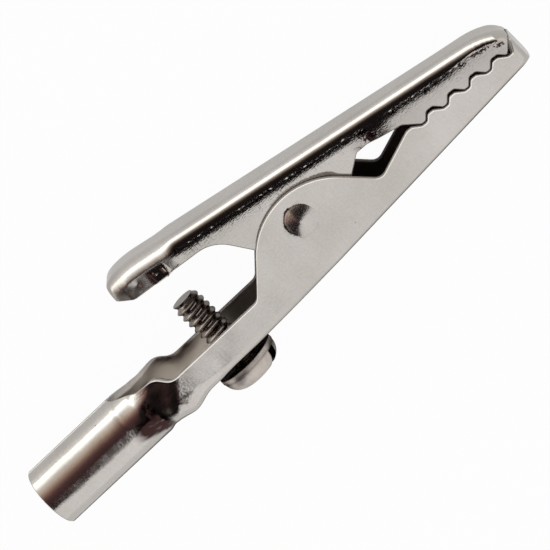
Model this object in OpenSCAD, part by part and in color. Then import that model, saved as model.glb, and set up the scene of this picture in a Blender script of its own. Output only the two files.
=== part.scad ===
// Alligator clip with a rolled plug barrel, pressed from nickel-plated sheet steel.
// It lies on its side: X runs from the barrel's mouth to the jaw tips, Y is the way
// the upper jaw opens, Z goes across the clip. The origin is the centre of the barrel's mouth.

/* [Sheet steel] */
// Thickness of the sheet that both jaws are pressed from
sheet_t = 0.6; // [0.5:0.05:0.7]
// Outer radius of the bends along the bottom of the lower jaw
bend_r = 0.8; // [0.75:0.05:1.1]

/* [Plug barrel] */
// Bore of the rolled barrel, for a 4 mm plug
plug_d = 4.0; // [3.8:0.05:4.4]
// Length of the barrel whose seam is closed
barrel_length = 8.6; // [7:0.1:9.5]
// Width of the seam where the rolled edges meet
seam_w = 0.1; // [0.06:0.02:0.2]
// Length over which the rolled seam opens, up to the forming mark
opening_length = 1.6; // [1.2:0.1:2]
// Length of the neck between the forming mark and the square channel
neck_length = 3.45; // [3:0.05:4.5]

/* [Lower jaw] */
// Length from the barrel's mouth to the tip of the jaws
clip_length = 50.6; // [49:0.1:53]
// Outer width of the channel and across the ears
ear_w = 6.7; // [6.2:0.1:7.4]
// Outer width of both jaws at the tip
tip_w = 4.1; // [3.6:0.1:4.4]
// Underside of the floor below the barrel's axis, at the screw
floor_drop = 1.79; // [1.6:0.01:1.9]
// Underside of the floor below the barrel's axis, at the pivot
hinge_drop = 1.37; // [1.2:0.01:1.5]
// Underside of the floor below the barrel's axis, at the tip
tip_drop = 0.31; // [0.2:0.01:0.4]
// Top edge of the channel's side walls above the barrel's axis
wall_rise = 0.88; // [0.6:0.02:1.1]
// Radius of the jaws' noses, seen from above
nose_r = 0.85; // [0.8:0.05:1.2]

/* [Ears and pivot] */
// Pivot axis from the barrel's mouth
hinge_x = 29.85; // [29:0.05:30.8]
// Pivot axis above the barrel's axis
hinge_y = 3.15; // [2.9:0.05:3.4]
// Radius of the ears' round tops
ear_r = 6.0; // [5.6:0.1:6.4]
// Top of the ears above the pivot axis
ear_rise = 2.2; // [2:0.05:2.4]
// Slope of the ears' straight flanks, in degrees
ear_angle = 47; // [45:1:50]
// Diameter of the boss pressed out of each ear
boss_d = 2.6; // [2.4:0.1:3]
// Height of the ear's boss above the ear
boss_h = 0.45; // [0.4:0.05:0.55]
// Diameter of the pivot pressed out of each wing, which turns in the ear's boss
pivot_d = 1.8; // [1.5:0.1:1.9]
// Radial clearance of the pivot in the ear's boss
pivot_gap = 0.04; // [0.02:0.01:0.08]
// Clearance between each ear and the wing inside it
wing_gap = 0.1; // [0.08:0.02:0.2]

/* [Upper jaw] */
// Top of the upper jaw above the pivot axis
back_rise = 4.27; // [4.1:0.01:4.5]
// Slope of the upper jaw's top, in degrees
jaw_slope = 10.7; // [9.7:0.1:11.5]
// Length of the thumb handle behind the pivot axis
handle_reach = 14.6; // [13.6:0.1:16]
// Outer width of the handle at its end
handle_w = 5.5; // [5:0.1:6]
// Depth of the handle's side walls at its end
handle_depth = 2.55; // [2.3:0.05:2.8]
// Depth of the handle's side walls at the wings
waist_depth = 2.05; // [1.9:0.05:2.3]
// Radius of the handle's rounded end, seen from above
handle_r = 1.2; // [1:0.1:1.6]
// Length over which the handle's top rounds down to its end
heel_run = 3.3; // [2.6:0.1:4]
// Fall of the handle's top at its end
heel_fall = 1.35; // [1.2:0.05:1.7]
// Radius along the upper jaw's top edges
crown_r = 1.15; // [0.95:0.05:1.3]
// Length over which the upper jaw's top rounds down to its nose
brow_run = 3.0; // [2:0.1:3.4]
// Fall of the upper jaw's top at its nose
brow_fall = 1.3; // [1.1:0.05:1.6]
// Wings below the pivot axis
wing_drop = 2.6; // [2.3:0.1:2.7]

/* [Teeth] */
// Teeth along each side of a jaw
tooth_count = 5; // [4:1:6]
// Distance from tooth to tooth
tooth_pitch = 2.05; // [1.9:0.05:2.2]
// Height of the lower jaw's teeth
lower_tooth_h = 0.44; // [0.3:0.02:0.5]
// Height of the upper jaw's teeth
upper_tooth_h = 0.58; // [0.5:0.02:0.7]
// Clearance between the upper teeth's tips and the lower teeth's roots
bite_gap = 0.09; // [0.06:0.01:0.15]
// Height of the bite line above the barrel's axis, at the tip
bite_y = 1.2; // [1.1:0.02:1.3]
// Rise of the bite line for a length of 1 towards the pivot
bite_slope = 0.0875; // [0.075:0.0025:0.1]
// Width of the front fang across the lower jaw's nose
fang_w = 2.4; // [2:0.1:2.8]
// Height of the front fang above the bite line
fang_h = 0.6; // [0.5:0.02:0.8]

/* [Torsion spring] */
// Wire of the spring
wire_d = 0.6; // [0.5:0.05:0.65]
// Diameter of the coil, at the middle of the wire
coil_d = 2.9; // [2.6:0.1:3.2]
// Step from turn to turn
coil_step = 1.05; // [1.02:0.01:1.1]
// Whole turns between the two legs
coil_turns = 2; // [1:1:2]
// Reach of the legs behind the pivot axis
leg_reach = 4.8; // [4.2:0.1:5.2]
// Clearance at the end of each leg
leg_gap = 0.05; // [0.02:0.01:0.1]

/* [Terminal screw] */
// Screw axis from the barrel's mouth
screw_x = 18.6; // [18:0.05:19.2]
// Outer diameter of the thread
thread_d = 2.45; // [2.2:0.05:2.8]
// Clearance of the thread in the floor's hole
thread_gap = 0.05; // [0.03:0.01:0.1]
// Length of the screw under its head
screw_length = 6.7; // [6:0.1:7.2]
// Diameter of the head
head_d = 5.2; // [4.9:0.05:5.5]
// Height of the head
head_h = 1.75; // [1.6:0.05:2.1]
// Gap between the head and the floor, with the screw slackened
head_gap = 0.58; // [0.4:0.01:0.9]
// Width of the screwdriver slot
slot_w = 0.8; // [0.6:0.05:1]
// Depth of the screwdriver slot
slot_depth = 0.95; // [0.7:0.05:1.1]
// Turn of the slot from the clip's length, in degrees
slot_angle = 29; // [0:1:90]

/* [Hidden] */

nickel = "#c8c5bf";
spring_steel = "#8f8c88";
screw_steel = "#9b948c";

$fn = 48;
// Degrees for one step of a rounded outline corner, and steps in a quarter bend of the sheet
arc_step = 8;
bend_steps = 5;
// Length by which a cut passes the surface that it cuts, and by which two skins lap
past = 1;
lap = 0.3;
// Step between a skin and the barrel that it grows out of
skin_step = 0.05;

// Plug barrel and neck
barrel_r = plug_d / 2 + sheet_t;
neck_r = barrel_r - skin_step;
roll_end = barrel_length + opening_length;
channel_x = roll_end + neck_length;
neck_pinch = 0.2;
shoulder_drop = 0.65;
shoulder_r = 0.6;

// How far the channel's rear end hangs below the floor's line, and over which length
sag = 0.38;
sag_length = 2;

// Places along the clip, from the pivot axis
handle_x = hinge_x - handle_reach;
wing_start_x = hinge_x - 7.8;
waist_x = hinge_x - 6;
taper_x = hinge_x - 4.8;
flare_start_x = hinge_x + 6.2;
flare_end_x = flare_start_x + 1.5;
window_end_x = hinge_x + 7.5;
lower_window_drop = 2.05;
upper_window_rise = 0.57;
wing_rear = 2.1;
wing_front = 1.8;

// Rise and length of the bevel under the handle's end
heel_rise = 0.7;
heel_length = 1.2;

// Joggle of the upper jaw's side walls, below the rounded back
crease_drop = 0.05;
joggle_h = 0.35;

// Teeth: distance of the first root from the tip, share of the pitch from a root to its tip,
// half of the flat on a tooth, shift of the rounded outline, and the rounding
tooth_margin = 0.8;
tooth_share = 0.56;
tooth_flat = 0.25;
upper_tooth_flat = 0.2;
tooth_shift = 0.08;
tooth_r = 0.3;
rake = 0.4;
ramp = 1.35;
ramp_h = 0.85;
nose_rise = 0.45;
mouth_rise = 1.05;

// Ears: point where their straight flanks would meet, and the foot of the front flank in the window
ear_apex = hinge_y + ear_rise - ear_r + ear_r / cos(ear_angle);
window_y = hinge_y - lower_window_drop;
ear_foot_x = hinge_x + (ear_apex - window_y) / tan(ear_angle);

// As many teeth as fit between the window and the tip
teeth = min(tooth_count, floor((clip_length - tooth_margin - ear_foot_x) / tooth_pitch - 0.5));

// Share of the sheet's thickness by which a wing's pivot stands above the ear's inner face
pivot_share = 0.65;

// Heights that clear the whole clip, above and below
over_y = hinge_y + back_rise + handle_reach * tan(jaw_slope) + past;
under_y = -barrel_r - past;

function lerp(a, b, s) = a + (b - a) * s;
function unit(v) = v / norm(v);
function turned(v, a) = [v[0] * cos(a) - v[1] * sin(a), v[0] * sin(a) + v[1] * cos(a)];

// Arc that rounds corner b, given as [x, y, radius], between its neighbours a and c
function corner_arc(a, b, c) =
    let (at = [b[0], b[1]])
    b[2] == 0 ? [at] :
    let (
        to_a = unit([a[0], a[1]] - at),
        to_c = unit([c[0], c[1]] - at),
        half = acos(to_a * to_c) / 2,
        centre = at + unit(to_a + to_c) * b[2] / sin(half),
        start = at + to_a * b[2] / tan(half) - centre,
        sweep = (180 - 2 * half) * (cross(to_a, to_c) > 0 ? -1 : 1),
        steps = max(2, ceil(abs(sweep) / arc_step)))
    [for (i = [0 : steps]) centre + turned(start, sweep * i / steps)];

// Closed outline whose corners are rounded by their own radii
function rounded(corners) =
    let (n = len(corners))
    [for (i = [0 : n - 1]) each corner_arc(corners[(i + n - 1) % n], corners[i], corners[(i + 1) % n])];

// Solid skinned over rings of points that follow each other along X
module loft(rings) {
    m = len(rings[0]);
    last = len(rings) - 1;
    sides = [for (i = [0 : last - 1], j = [0 : m - 1])
        let (a = i * m + j, b = i * m + (j + 1) % m)
        each [[a, b, b + m], [a, b + m, a + m]]];
    ends = [for (j = [0 : m - 1])
        let (k = (j + 1) % m, first = (last + 1) * m)
        each [[first, k, j], [first + 1, last * m + j, last * m + k]]];
    middles = [for (r = [rings[0], rings[last]]) (r[0] + r[m / 2]) / 2];
    polyhedron(points = concat([for (r = rings) each r], middles), faces = concat(sides, ends));
}

// Quarter bend of radius r round (y, z), from angle a, as points at x
function bend(x, y, z, r, a) =
    [for (i = [0 : bend_steps])
        [x, y + r * sin(a + 90 * i / bend_steps), z + r * cos(a + 90 * i / bend_steps)]];

// How far an end, rounded over the length run, has fallen at distance d from its tip
function end_drop(d, run, fall) =
    d >= run ? 0 : fall * (1 - sqrt(max(0, 1 - pow(1 - d / run, 2))));

// Distances from an end's tip at which a loft has its rings: round it, then along its longer fall
function end_steps(r) = [for (a = [0 : 18 : 90]) r * (1 - cos(a))];
function fall_steps(r, run) = concat(end_steps(r), [for (a = [72, 90]) run * (1 - cos(a))]);

// Lower jaw: underside of the floor, bent at the pivot, and outer half width along the clip
function floor_y(x) = x < hinge_x
    ? -lerp(floor_drop, hinge_drop, (x - screw_x) / (hinge_x - screw_x))
    : -lerp(hinge_drop, tip_drop, (x - hinge_x) / (clip_length - hinge_x));
function lower_half(x) =
    lerp(ear_w / 2, tip_w / 2, max(0, (x - taper_x) / (clip_length - taper_x)));

// Upper jaw: top line, and the half width of its rounded back
function top_y(x) = hinge_y + back_rise - (x - hinge_x) * tan(jaw_slope);
function back_half(x) = lerp(handle_w / 2, tip_w / 2, (x - handle_x) / (clip_length - handle_x));

// Bite line between the two rows of teeth, and the places of its roots and tips
function bite(x) = bite_y + bite_slope * (clip_length - x);
function root_x(k) = clip_length - tooth_margin - tooth_pitch * k;
function tip_x(k) = root_x(k) - tooth_share * tooth_pitch;

// Outline corner at a height above the bite line
function tooth_corner(x, height, r) = [x, bite(x) + height - tooth_shift, r];

// Outer ring of the rolled and folded lower jaw, drawn in by t for the inner one
function lower_ring(x, half, base, top, base_r, top_r, t) = concat(
    bend(x, base + base_r, half - base_r, base_r - t, -90),
    bend(x, top - top_r, half - top_r, top_r - t, 0),
    bend(x, top - top_r, -half + top_r, top_r - t, 90),
    bend(x, base + base_r, -half + base_r, base_r - t, 180));

// Lower jaw's skin: round at the neck, then a square channel, then the nose
module lower_skin(t) {
    channel_base = floor_y(channel_x) - sag;
    channel_top = barrel_r + bend_r;
    neck = [for (s = [0 : 0.2 : 1])
        lower_ring(lerp(roll_end - lap, channel_x, s), lerp(neck_r, ear_w / 2, s * s),
            lerp(-neck_r, channel_base, s * s) + neck_pinch * sin(180 * s * s),
            lerp(neck_r, channel_top, s), lerp(neck_r, bend_r, s * s), lerp(neck_r, bend_r, s), t)];
    heel = lower_ring(channel_x + sag_length / 2, ear_w / 2, floor_y(channel_x + sag_length / 2) - sag / 2,
        over_y, bend_r, bend_r, t);
    channel = [for (x = [channel_x + sag_length, screw_x, taper_x, hinge_x])
        lower_ring(x, lower_half(x), floor_y(x), over_y, bend_r, bend_r, t)];
    steps = end_steps(nose_r - t);
    nose = [for (i = [len(steps) - 1 : -1 : 0])
        let (
            x = clip_length - t - steps[i],
            drop = end_drop(steps[i], nose_r - t, nose_r - t))
        lower_ring(x, lower_half(x) - drop, floor_y(x), over_y, bend_r, bend_r, t)];
    loft(concat(neck, [heel], channel, nose));
}

// Side outline of the lower jaw: neck, channel wall, ear, window and teeth
module lower_outline() {
    shoulder_y = barrel_r - shoulder_drop;
    tooth_row = [for (k = [teeth - 1 : -1 : 0]) each [
        tooth_corner(tip_x(k) - tooth_flat, lower_tooth_h - bite_gap, tooth_r),
        tooth_corner(tip_x(k) + tooth_flat, lower_tooth_h - bite_gap, tooth_r),
        tooth_corner(root_x(k) - tooth_flat, -bite_gap, tooth_r),
        tooth_corner(root_x(k) + tooth_flat, -bite_gap, tooth_r)]];
    polygon(rounded(concat([
        [-past, under_y, 0],
        [-past, over_y, 0],
        [barrel_length, over_y, 0],
        [barrel_length, barrel_r, 0],
        [roll_end + past, shoulder_y, past],
        [channel_x - shoulder_r, shoulder_y, shoulder_r],
        [channel_x + shoulder_r / 2, wall_rise, shoulder_r],
        [hinge_x - (ear_apex - wall_rise) / tan(ear_angle), wall_rise, bend_r],
        [hinge_x, ear_apex, ear_r],
        [ear_foot_x, window_y, bend_r]],
        tooth_row, [
        [clip_length, bite_y + nose_rise, 0],
        [clip_length + past, bite_y + nose_rise, 0],
        [clip_length + past, under_y, 0]])));
}

// Space of the front fang across the nose, with a gap round it for the notch that it bites into
module fang(gap) {
    width = fang_w + 2 * gap;
    translate([clip_length - nose_r - gap, under_y, -width / 2])
        cube([nose_r + gap + past, bite_y + fang_h + gap - under_y, width]);
}

// Lower jaw: barrel, channel, ears with pressed bosses, teeth and nose from one sheet
module lower_jaw() {
    across = ear_w + 2 * past;
    ear_half = lower_half(hinge_x);
    boss_sphere_r = (boss_d * boss_d / 4 + boss_h * boss_h) / (2 * boss_h);
    color(nickel) difference() {
        union() {
            intersection() {
                difference() {
                    union() {
                        rotate([0, 90, 0]) cylinder(d = 2 * barrel_r, h = roll_end);
                        lower_skin(0);
                    }
                    translate([-past, 0, 0]) rotate([0, 90, 0]) cylinder(d = plug_d, h = roll_end + past);
                    lower_skin(sheet_t);
                }
                union() {
                    linear_extrude(across, center = true) lower_outline();
                    fang(0);
                }
            }
            for (side = [-1, 1]) translate([hinge_x, hinge_y, side * (ear_half - sheet_t / 2)])
                rotate([side < 0 ? 180 : 0, 0, 0]) intersection() {
                    cylinder(d = boss_d, h = sheet_t / 2 + boss_h + past);
                    translate([0, 0, sheet_t / 2 + boss_h - boss_sphere_r]) sphere(boss_sphere_r);
                }
        }
        for (side = [-1, 1]) translate([hinge_x, hinge_y, side * (ear_half - sheet_t)])
            rotate([side < 0 ? 180 : 0, 0, 0]) translate([0, 0, -sheet_t / 2])
                cylinder(d = pivot_d + 2 * pivot_gap, h = sheet_t / 2 + pivot_height() + pivot_gap);
        translate([-past, 0, -seam_w / 2]) cube([barrel_length + 2 * past, over_y, seam_w]);
        translate([screw_x, under_y, 0]) rotate([-90, 0, 0])
            cylinder(d = thread_d + 2 * thread_gap, h = -under_y);
    }
}

// Height of a wing's pivot above the ear's inner face
function pivot_height() = sheet_t * pivot_share;

// Outer half width of the wings, which fit inside the ears
function wing_half(x) = lower_half(x) - sheet_t - wing_gap;

// Upper jaw's ring: rounded back, with side walls set in where the wings pass the ears
function upper_ring(x, t) =
    let (
        from_handle = x - handle_x - t,
        from_nose = clip_length - t - x,
        heel = end_drop(from_handle, heel_run - t, heel_fall - t),
        brow = end_drop(from_nose, brow_run - t, brow_fall - t),
        top = top_y(x) - max(heel, brow),
        half = back_half(x) - max(end_drop(from_handle, handle_r - t, handle_r - t),
            end_drop(from_nose, nose_r - t, nose_r - t)),
        is_wing = x > wing_start_x && x < flare_end_x,
        wall = is_wing ? min(half, wing_half(x)) : half,
        r = min(crown_r, half - 2 * skin_step),
        inner_r = max(r - t, skin_step),
        crease = top - crown_r - crease_drop)
    concat(
        [[x, under_y, wall - t], [x, crease - joggle_h, wall - t], [x, crease, half - t]],
        bend(x, top - r, half - r, inner_r, 0),
        bend(x, top - r, -half + r, inner_r, 90),
        [[x, crease, t - half], [x, crease - joggle_h, t - wall], [x, under_y, t - wall]]);

// Upper jaw's skin, drawn in by t for the inner one
module upper_skin(t) {
    rear = [for (d = fall_steps(handle_r - t, heel_run - t)) handle_x + t + d];
    middle = [wing_start_x, taper_x, hinge_x, flare_start_x, flare_end_x];
    steps = fall_steps(nose_r - t, brow_run - t);
    front = [for (i = [len(steps) - 1 : -1 : 0]) clip_length - t - steps[i]];
    loft([for (x = concat(rear, middle, front)) upper_ring(x, t)]);
}

// Side outline of the upper jaw: handle, wings, window and teeth
module upper_outline() {
    upper_window_y = hinge_y + upper_window_rise;
    wing_y = hinge_y - wing_drop;
    heel_x = handle_x + heel_length;
    heel_y = top_y(heel_x) - handle_depth;
    ramp_x = root_x(teeth - 1) - ramp;
    tooth_row = [for (k = [teeth - 1 : -1 : 0]) each [
        tooth_corner(root_x(k) - upper_tooth_flat, 0, tooth_r),
        if (k > 0) tooth_corner(root_x(k) + upper_tooth_flat, 0, tooth_r),
        if (k > 0) tooth_corner(tip_x(k - 1) - upper_tooth_flat, upper_tooth_h, tooth_r),
        if (k > 0) tooth_corner(tip_x(k - 1) + rake, upper_tooth_h, tooth_r)]];
    polygon(rounded(concat([
        [clip_length + past, over_y, 0],
        [handle_x - past, over_y, 0],
        [handle_x - past, heel_y + heel_rise * (1 + past / heel_length), 0],
        [heel_x, heel_y, heel_length],
        [waist_x, top_y(waist_x) - waist_depth, 3],
        [hinge_x - wing_rear, wing_y, 1],
        [hinge_x + wing_front, wing_y, 1],
        [flare_start_x + tooth_r, upper_window_y, tooth_r],
        [window_end_x, upper_window_y, tooth_r],
        [ramp_x, bite(ramp_x) + ramp_h, tooth_r]],
        tooth_row, [
        [clip_length, bite_y + mouth_rise, 0],
        [clip_length + past, bite_y + mouth_rise, 0]])));
}

// Upper jaw: thumb handle, wings with pressed pivots, teeth and nose from one sheet
module upper_jaw() {
    across = handle_w + 2 * past;
    wing_z = wing_half(hinge_x);
    color(nickel) difference() {
        union() {
            intersection() {
                difference() {
                    upper_skin(0);
                    upper_skin(sheet_t);
                }
                difference() {
                    linear_extrude(across, center = true) upper_outline();
                    fang(bite_gap);
                }
            }
            for (side = [-1, 1]) translate([hinge_x, hinge_y, side * (wing_z - sheet_t / 2)])
                rotate([side < 0 ? 180 : 0, 0, 0])
                    cylinder(d = pivot_d, h = sheet_t / 2 + wing_gap + pivot_height());
        }
        for (side = [-1, 1]) translate([hinge_x, hinge_y, side * (wing_z - sheet_t)])
            rotate([side < 0 ? 180 : 0, 0, 0]) translate([0, 0, -sheet_t / 2])
                cylinder(d = pivot_d / 2, h = sheet_t + pivot_height());
    }
}

// Middle line of the spring: lower leg, coil, upper leg
coil_r = coil_d / 2;
leg_x = -leg_reach;
lower_leg_y = floor_y(hinge_x + leg_x) + sheet_t + leg_gap + wire_d / 2 - hinge_y;
upper_leg_y = top_y(hinge_x + leg_x) - sheet_t - leg_gap - wire_d / 2 / cos(jaw_slope) - hinge_y;
lower_leg_end = [leg_x, lower_leg_y];
upper_leg_end = [leg_x, upper_leg_y];
coil_start = atan2(-lower_leg_y, -leg_x) - asin(coil_r / norm(lower_leg_end)) - 90;
coil_end = atan2(upper_leg_y, leg_x) - acos(coil_r / norm(upper_leg_end)) + 360 * coil_turns;
coil_half_w = coil_step * (coil_end - coil_start) / 720;
rings_per_turn = 8;
coil_rings = ceil((coil_end - coil_start) / 360 * rings_per_turn);
coil_points = [for (i = [0 : coil_rings])
    let (a = lerp(coil_start, coil_end, i / coil_rings))
    [coil_r * cos(a), coil_r * sin(a), lerp(-coil_half_w, coil_half_w, i / coil_rings)]];
lower_leg = [for (s = [0, 0.5]) lerp([each lower_leg_end, -coil_half_w], coil_points[0], s)];
upper_leg = [for (s = [0.5, 1]) lerp(coil_points[coil_rings], [each upper_leg_end, coil_half_w], s)];
spring_points = concat(lower_leg, coil_points, upper_leg);

// Least gap of the spring to itself, between points at least three quarters of a turn apart
far_points = rings_per_turn * 0.75;
spring_gap = min([for (i = [0 : len(spring_points) - 1], j = [i + far_points : 1 : len(spring_points) - 1])
    norm(spring_points[i] - spring_points[j])]) - wire_d;

// Six-sided tube of diameter d along the points of a path
module wire(path, d) {
    sides = 6;
    last = len(path) - 1;
    rings = [for (i = [0 : last])
        let (
            along = unit(path[min(i + 1, last)] - path[max(i - 1, 0)]),
            up = unit([0, 0, 1] - along * along[2]),
            out = cross(along, up))
        [for (j = [0 : sides - 1]) path[i] + (out * cos(360 * j / sides) + up * sin(360 * j / sides)) * d / 2]];
    walls = [for (i = [0 : last - 1], j = [0 : sides - 1])
        let (a = i * sides + j, b = i * sides + (j + 1) % sides)
        each [[a, b, b + sides], [a, b + sides, a + sides]]];
    ends = [for (j = [1 : sides - 2]) each [[0, j + 1, j], last * sides * [1, 1, 1] + [0, j, j + 1]]];
    polyhedron(points = [for (r = rings) each r], faces = concat(walls, ends));
}

// Torsion spring: coil round the pivot axis, its legs press the floor and the handle apart
module torsion_spring() {
    echo("least gap of the spring to itself, mm", spring_gap);
    color(spring_steel) translate([hinge_x, hinge_y, 0]) wire(spring_points, wire_d);
}

// Terminal screw: slotted pan head below the floor, thread up through it
module terminal_screw() {
    head_r = head_d / 2;
    thread_r = thread_d / 2;
    chamfer = thread_r * 0.2;
    crown = head_h * 0.85;
    rim_r = 0.1;
    seat_y = floor_y(screw_x) - head_gap;
    color(screw_steel) translate([screw_x, seat_y, 0]) rotate([-90, 0, 0]) difference() {
        rotate_extrude() polygon(rounded([
            [0, -head_h, 0],
            [head_r, -head_h, crown],
            [head_r, 0, rim_r],
            [thread_r, 0, 0],
            [thread_r, screw_length - chamfer, 0],
            [thread_r - chamfer, screw_length, 0],
            [0, screw_length, 0]]));
        rotate(-slot_angle) translate([-head_d, -slot_w / 2, -head_h - past])
            cube([2 * head_d, slot_w, slot_depth + past]);
    }
}

lower_jaw();
upper_jaw();
torsion_spring();
terminal_screw();
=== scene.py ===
"""Alligator clip pressed from nickel-plated sheet steel, lying on its side on a white table."""
import math
from bisect import bisect_right

import bmesh
import bpy
from mathutils import Matrix, Vector, noise


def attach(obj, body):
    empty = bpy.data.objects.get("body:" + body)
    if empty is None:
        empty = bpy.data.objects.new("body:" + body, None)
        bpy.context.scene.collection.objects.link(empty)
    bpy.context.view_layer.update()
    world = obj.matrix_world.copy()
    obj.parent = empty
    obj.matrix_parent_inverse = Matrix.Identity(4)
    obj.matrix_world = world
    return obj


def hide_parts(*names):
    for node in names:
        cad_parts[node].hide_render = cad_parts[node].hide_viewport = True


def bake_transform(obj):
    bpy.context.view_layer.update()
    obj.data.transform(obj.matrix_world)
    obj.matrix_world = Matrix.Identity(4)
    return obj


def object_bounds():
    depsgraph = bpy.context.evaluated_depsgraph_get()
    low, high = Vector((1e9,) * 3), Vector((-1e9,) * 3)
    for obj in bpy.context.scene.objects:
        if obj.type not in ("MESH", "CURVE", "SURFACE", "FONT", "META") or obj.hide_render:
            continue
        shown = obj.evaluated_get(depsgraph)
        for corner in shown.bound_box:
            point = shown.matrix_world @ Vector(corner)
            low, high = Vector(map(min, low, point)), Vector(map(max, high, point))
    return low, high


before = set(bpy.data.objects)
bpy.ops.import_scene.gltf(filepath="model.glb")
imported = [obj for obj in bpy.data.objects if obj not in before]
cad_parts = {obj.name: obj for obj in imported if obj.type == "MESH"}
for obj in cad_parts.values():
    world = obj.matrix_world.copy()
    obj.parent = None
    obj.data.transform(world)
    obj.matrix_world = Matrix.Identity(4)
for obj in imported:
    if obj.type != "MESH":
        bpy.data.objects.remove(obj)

cad_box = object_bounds()

# Metres in a millimetre. Every size below is in millimetres.
MM = 0.001

# Camera: where it stands, what it looks at, its turn about the view in degrees,
# and its focal length in pixels of the square picture
CAMERA_AT = Vector((75.33, 64.10, 262.79))
CAMERA_AIM = Vector((24.91, 0.68, 0))
CAMERA_ROLL = 43.21
FOCAL_PIXELS = 3598.4
PICTURE_PIXELS = 550
SENSOR = 36

# Sheet steel of both jaws, and the rounding of its sheared edges
SHEET = 0.6
BEND_R = 0.8
BURR = 0.07
EDGE_BAND = 0.26

# Plug barrel and neck. A band lists where a smooth form starts, is full, eases off and ends.
BARREL_R = 2.6
BARREL_LENGTH = 8.6
SEAM = 0.1
ROLL_END = 10.2
CHANNEL_X = 13.65
NECK_PINCH = 0.2
PINCH_BAND = (10.6, 11.5, 11.9, CHANNEL_X)
NECK_FROM = 10.7
NECK_TO = 14.1
NECK_FROM_SLANT = 0.35
NECK_TO_SLANT = 0.8
RIDGE_X = 10.85
LIP_FROM = 8.8
LIP_TO = 10.5
LIP_H = 0.07
LIP_FADE = (RIDGE_X + 0.6, 13.4)
LIP_BAND = (-2.4, -1.8, 1.0, 1.7)
FOLD_AT = Vector((13.04, -0.44))
FOLD_BAND = (FOLD_AT.x - 0.3, FOLD_AT.x, FOLD_AT.x + 0.6, 14.81)
FOLD_SLOPE = -0.215
FOLD_D = 0.02
FOLD_W = 0.13
CHANNEL_BEND_R = 1.4
CHANNEL_BEND_END = 20
SHOULDER_Y = BARREL_R - 0.65
SHOULDER_RUN = 0.6
SHOULDER_R = 1.25
SAG = 0.38
SAG_LENGTH = 2.0

# Lower jaw
CLIP_LENGTH = 50.6
EAR_W = 6.7
TIP_W = 4.1
SCREW_X = 18.6
FLOOR_DROP = 1.79
HINGE_DROP = 1.37
TIP_DROP = 0.31
WALL_RISE = 0.88
NOSE_R = 0.85
NOSE_FACET = math.tan(math.radians(33))
FANG_H = 0.9

# Ears and pivot. The slopes of the boss are in degrees.
HINGE = Vector((29.85, 3.15, 0))
EAR_R = 6.0
EAR_RISE = 2.2
EAR_SLOPE = math.tan(math.radians(47))
EAR_APEX = HINGE.y + EAR_RISE - EAR_R + EAR_R / math.cos(math.radians(47))
TAPER_X = HINGE.x - 4.8
BOSS_D = 2.6
BOSS_H = 0.45
BOSS_FLAT_R = 0.1
BOSS_TOP_SLOPE = 8
BOSS_FOOT_SLOPE = 38
PIVOT_D = 1.8
PIVOT_H = 0.39
PIVOT_GAP = 0.04
WING_GAP = 0.1

# Upper jaw
BACK_RISE = 4.27
JAW_SLOPE = math.tan(math.radians(10.7))
HANDLE_X = HINGE.x - 14.6
HANDLE_W = 5.5
HANDLE_DEPTH = 2.55
HANDLE_R = 1.2
HEEL_FACET = math.tan(math.radians(27))
HEEL_EDGE_R = 0.25
WAIST_X = HINGE.x - 6
WAIST_DEPTH = 2.05
HEEL_RUN = 3.3
HEEL_FALL = 1.12
HEEL_RISE = 0.7
HEEL_LENGTH = 1.2
CROWN_R = 1.15
HANDLE_CROWN_R = 1.9
CROWN_FROM = 20.1
CROWN_TO = 21.7
HANDLE_BAND = (HANDLE_X + 0.3, HANDLE_X + 1.5, CROWN_FROM, CROWN_TO)
BROW_RUN = 3.0
BROW_FALL = 1.3
NOSE_GAP = 0.02
MOUTH_RISE = 0.98
WING_START_X = HINGE.x - 7.8
WING_DROP = 2.6
WING_REAR = 2.1
WING_FRONT = 1.8
FLARE_START_X = HINGE.x + 6.2
FLARE_END_X = FLARE_START_X + 1.5
WINDOW_END_X = HINGE.x + 7.5
WINDOW_RISE = 0.57
WINDOW_DROP = 2.05
JOGGLE_H = 1.2

# Crease beside the upper jaw's rounded back, the band where its wall fades, and the torn groove in between
CREASE_ANGLE = math.radians(10)
HANDLE_CREASE_ANGLE = math.radians(25)
NOSE_CREASE_ANGLE = math.radians(26)
FADE_H = 0.7
FADE_DROP = 0.08
FRONT_FADE_H = 0.8
FRONT_FADE_DROP = 0.075
GROOVE_W = 0.12
GROOVE_D = 0.04
GROOVE_LEAN = 0.12
GROOVE_FROM = HINGE.x - 8.6
GROOVE_TO = HINGE.x + 6.5
TEAR_RATE = 3.6
TEAR_PATCH_RATE = 0.9
FRONT_TEAR_LOSS = 0.35
NOSE_CREASE_FROM = 44.5
FADE_FROM = 45.0
FADE_LOSS = 0.8
BAND_END = 49.0

# Slopes of the upper jaw's walls, which lean out along the handle and in front of the window
REAR_LEAN = math.tan(math.radians(5))
REAR_LEAN_FROM = (15.9, 17.1)
LEAN = math.tan(math.radians(12))
LEAN_DROP = 0.08
LEAN_FROM = 18.3
LEAN_RUN = 0.5
LEAN_EASE = 0.25
LEAN_TO = 20.1
FRONT_LEAN = math.tan(math.radians(6))
FRONT_LEAN_BAND = (37.5, 38.6, 38.6, 40.8)

# Dents (negative) and bumps of the upper jaw's side walls: x, y, radius, height
WALL_MARKS = [
    (17.50, 8.10, 0.26, -0.11),
    (19.08, 7.81, 0.14, 0.05),
    (16.45, 8.35, 0.28, -0.06),
    (16.95, 8.75, 0.24, 0.03),
    (20.77, 7.72, 0.60, 0.08),
    (36.38, 5.16, 0.16, -0.05),
]
RIPPLE_X = 19.75
RIPPLE_PITCH = 0.17
RIPPLE_H = 0.03
RIPPLE_W = 0.22
RIPPLE_BAND = (0.2, 0.5, 0.8, 1.1)
RELIEF_FROM = (0.6, 1.4)

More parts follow.
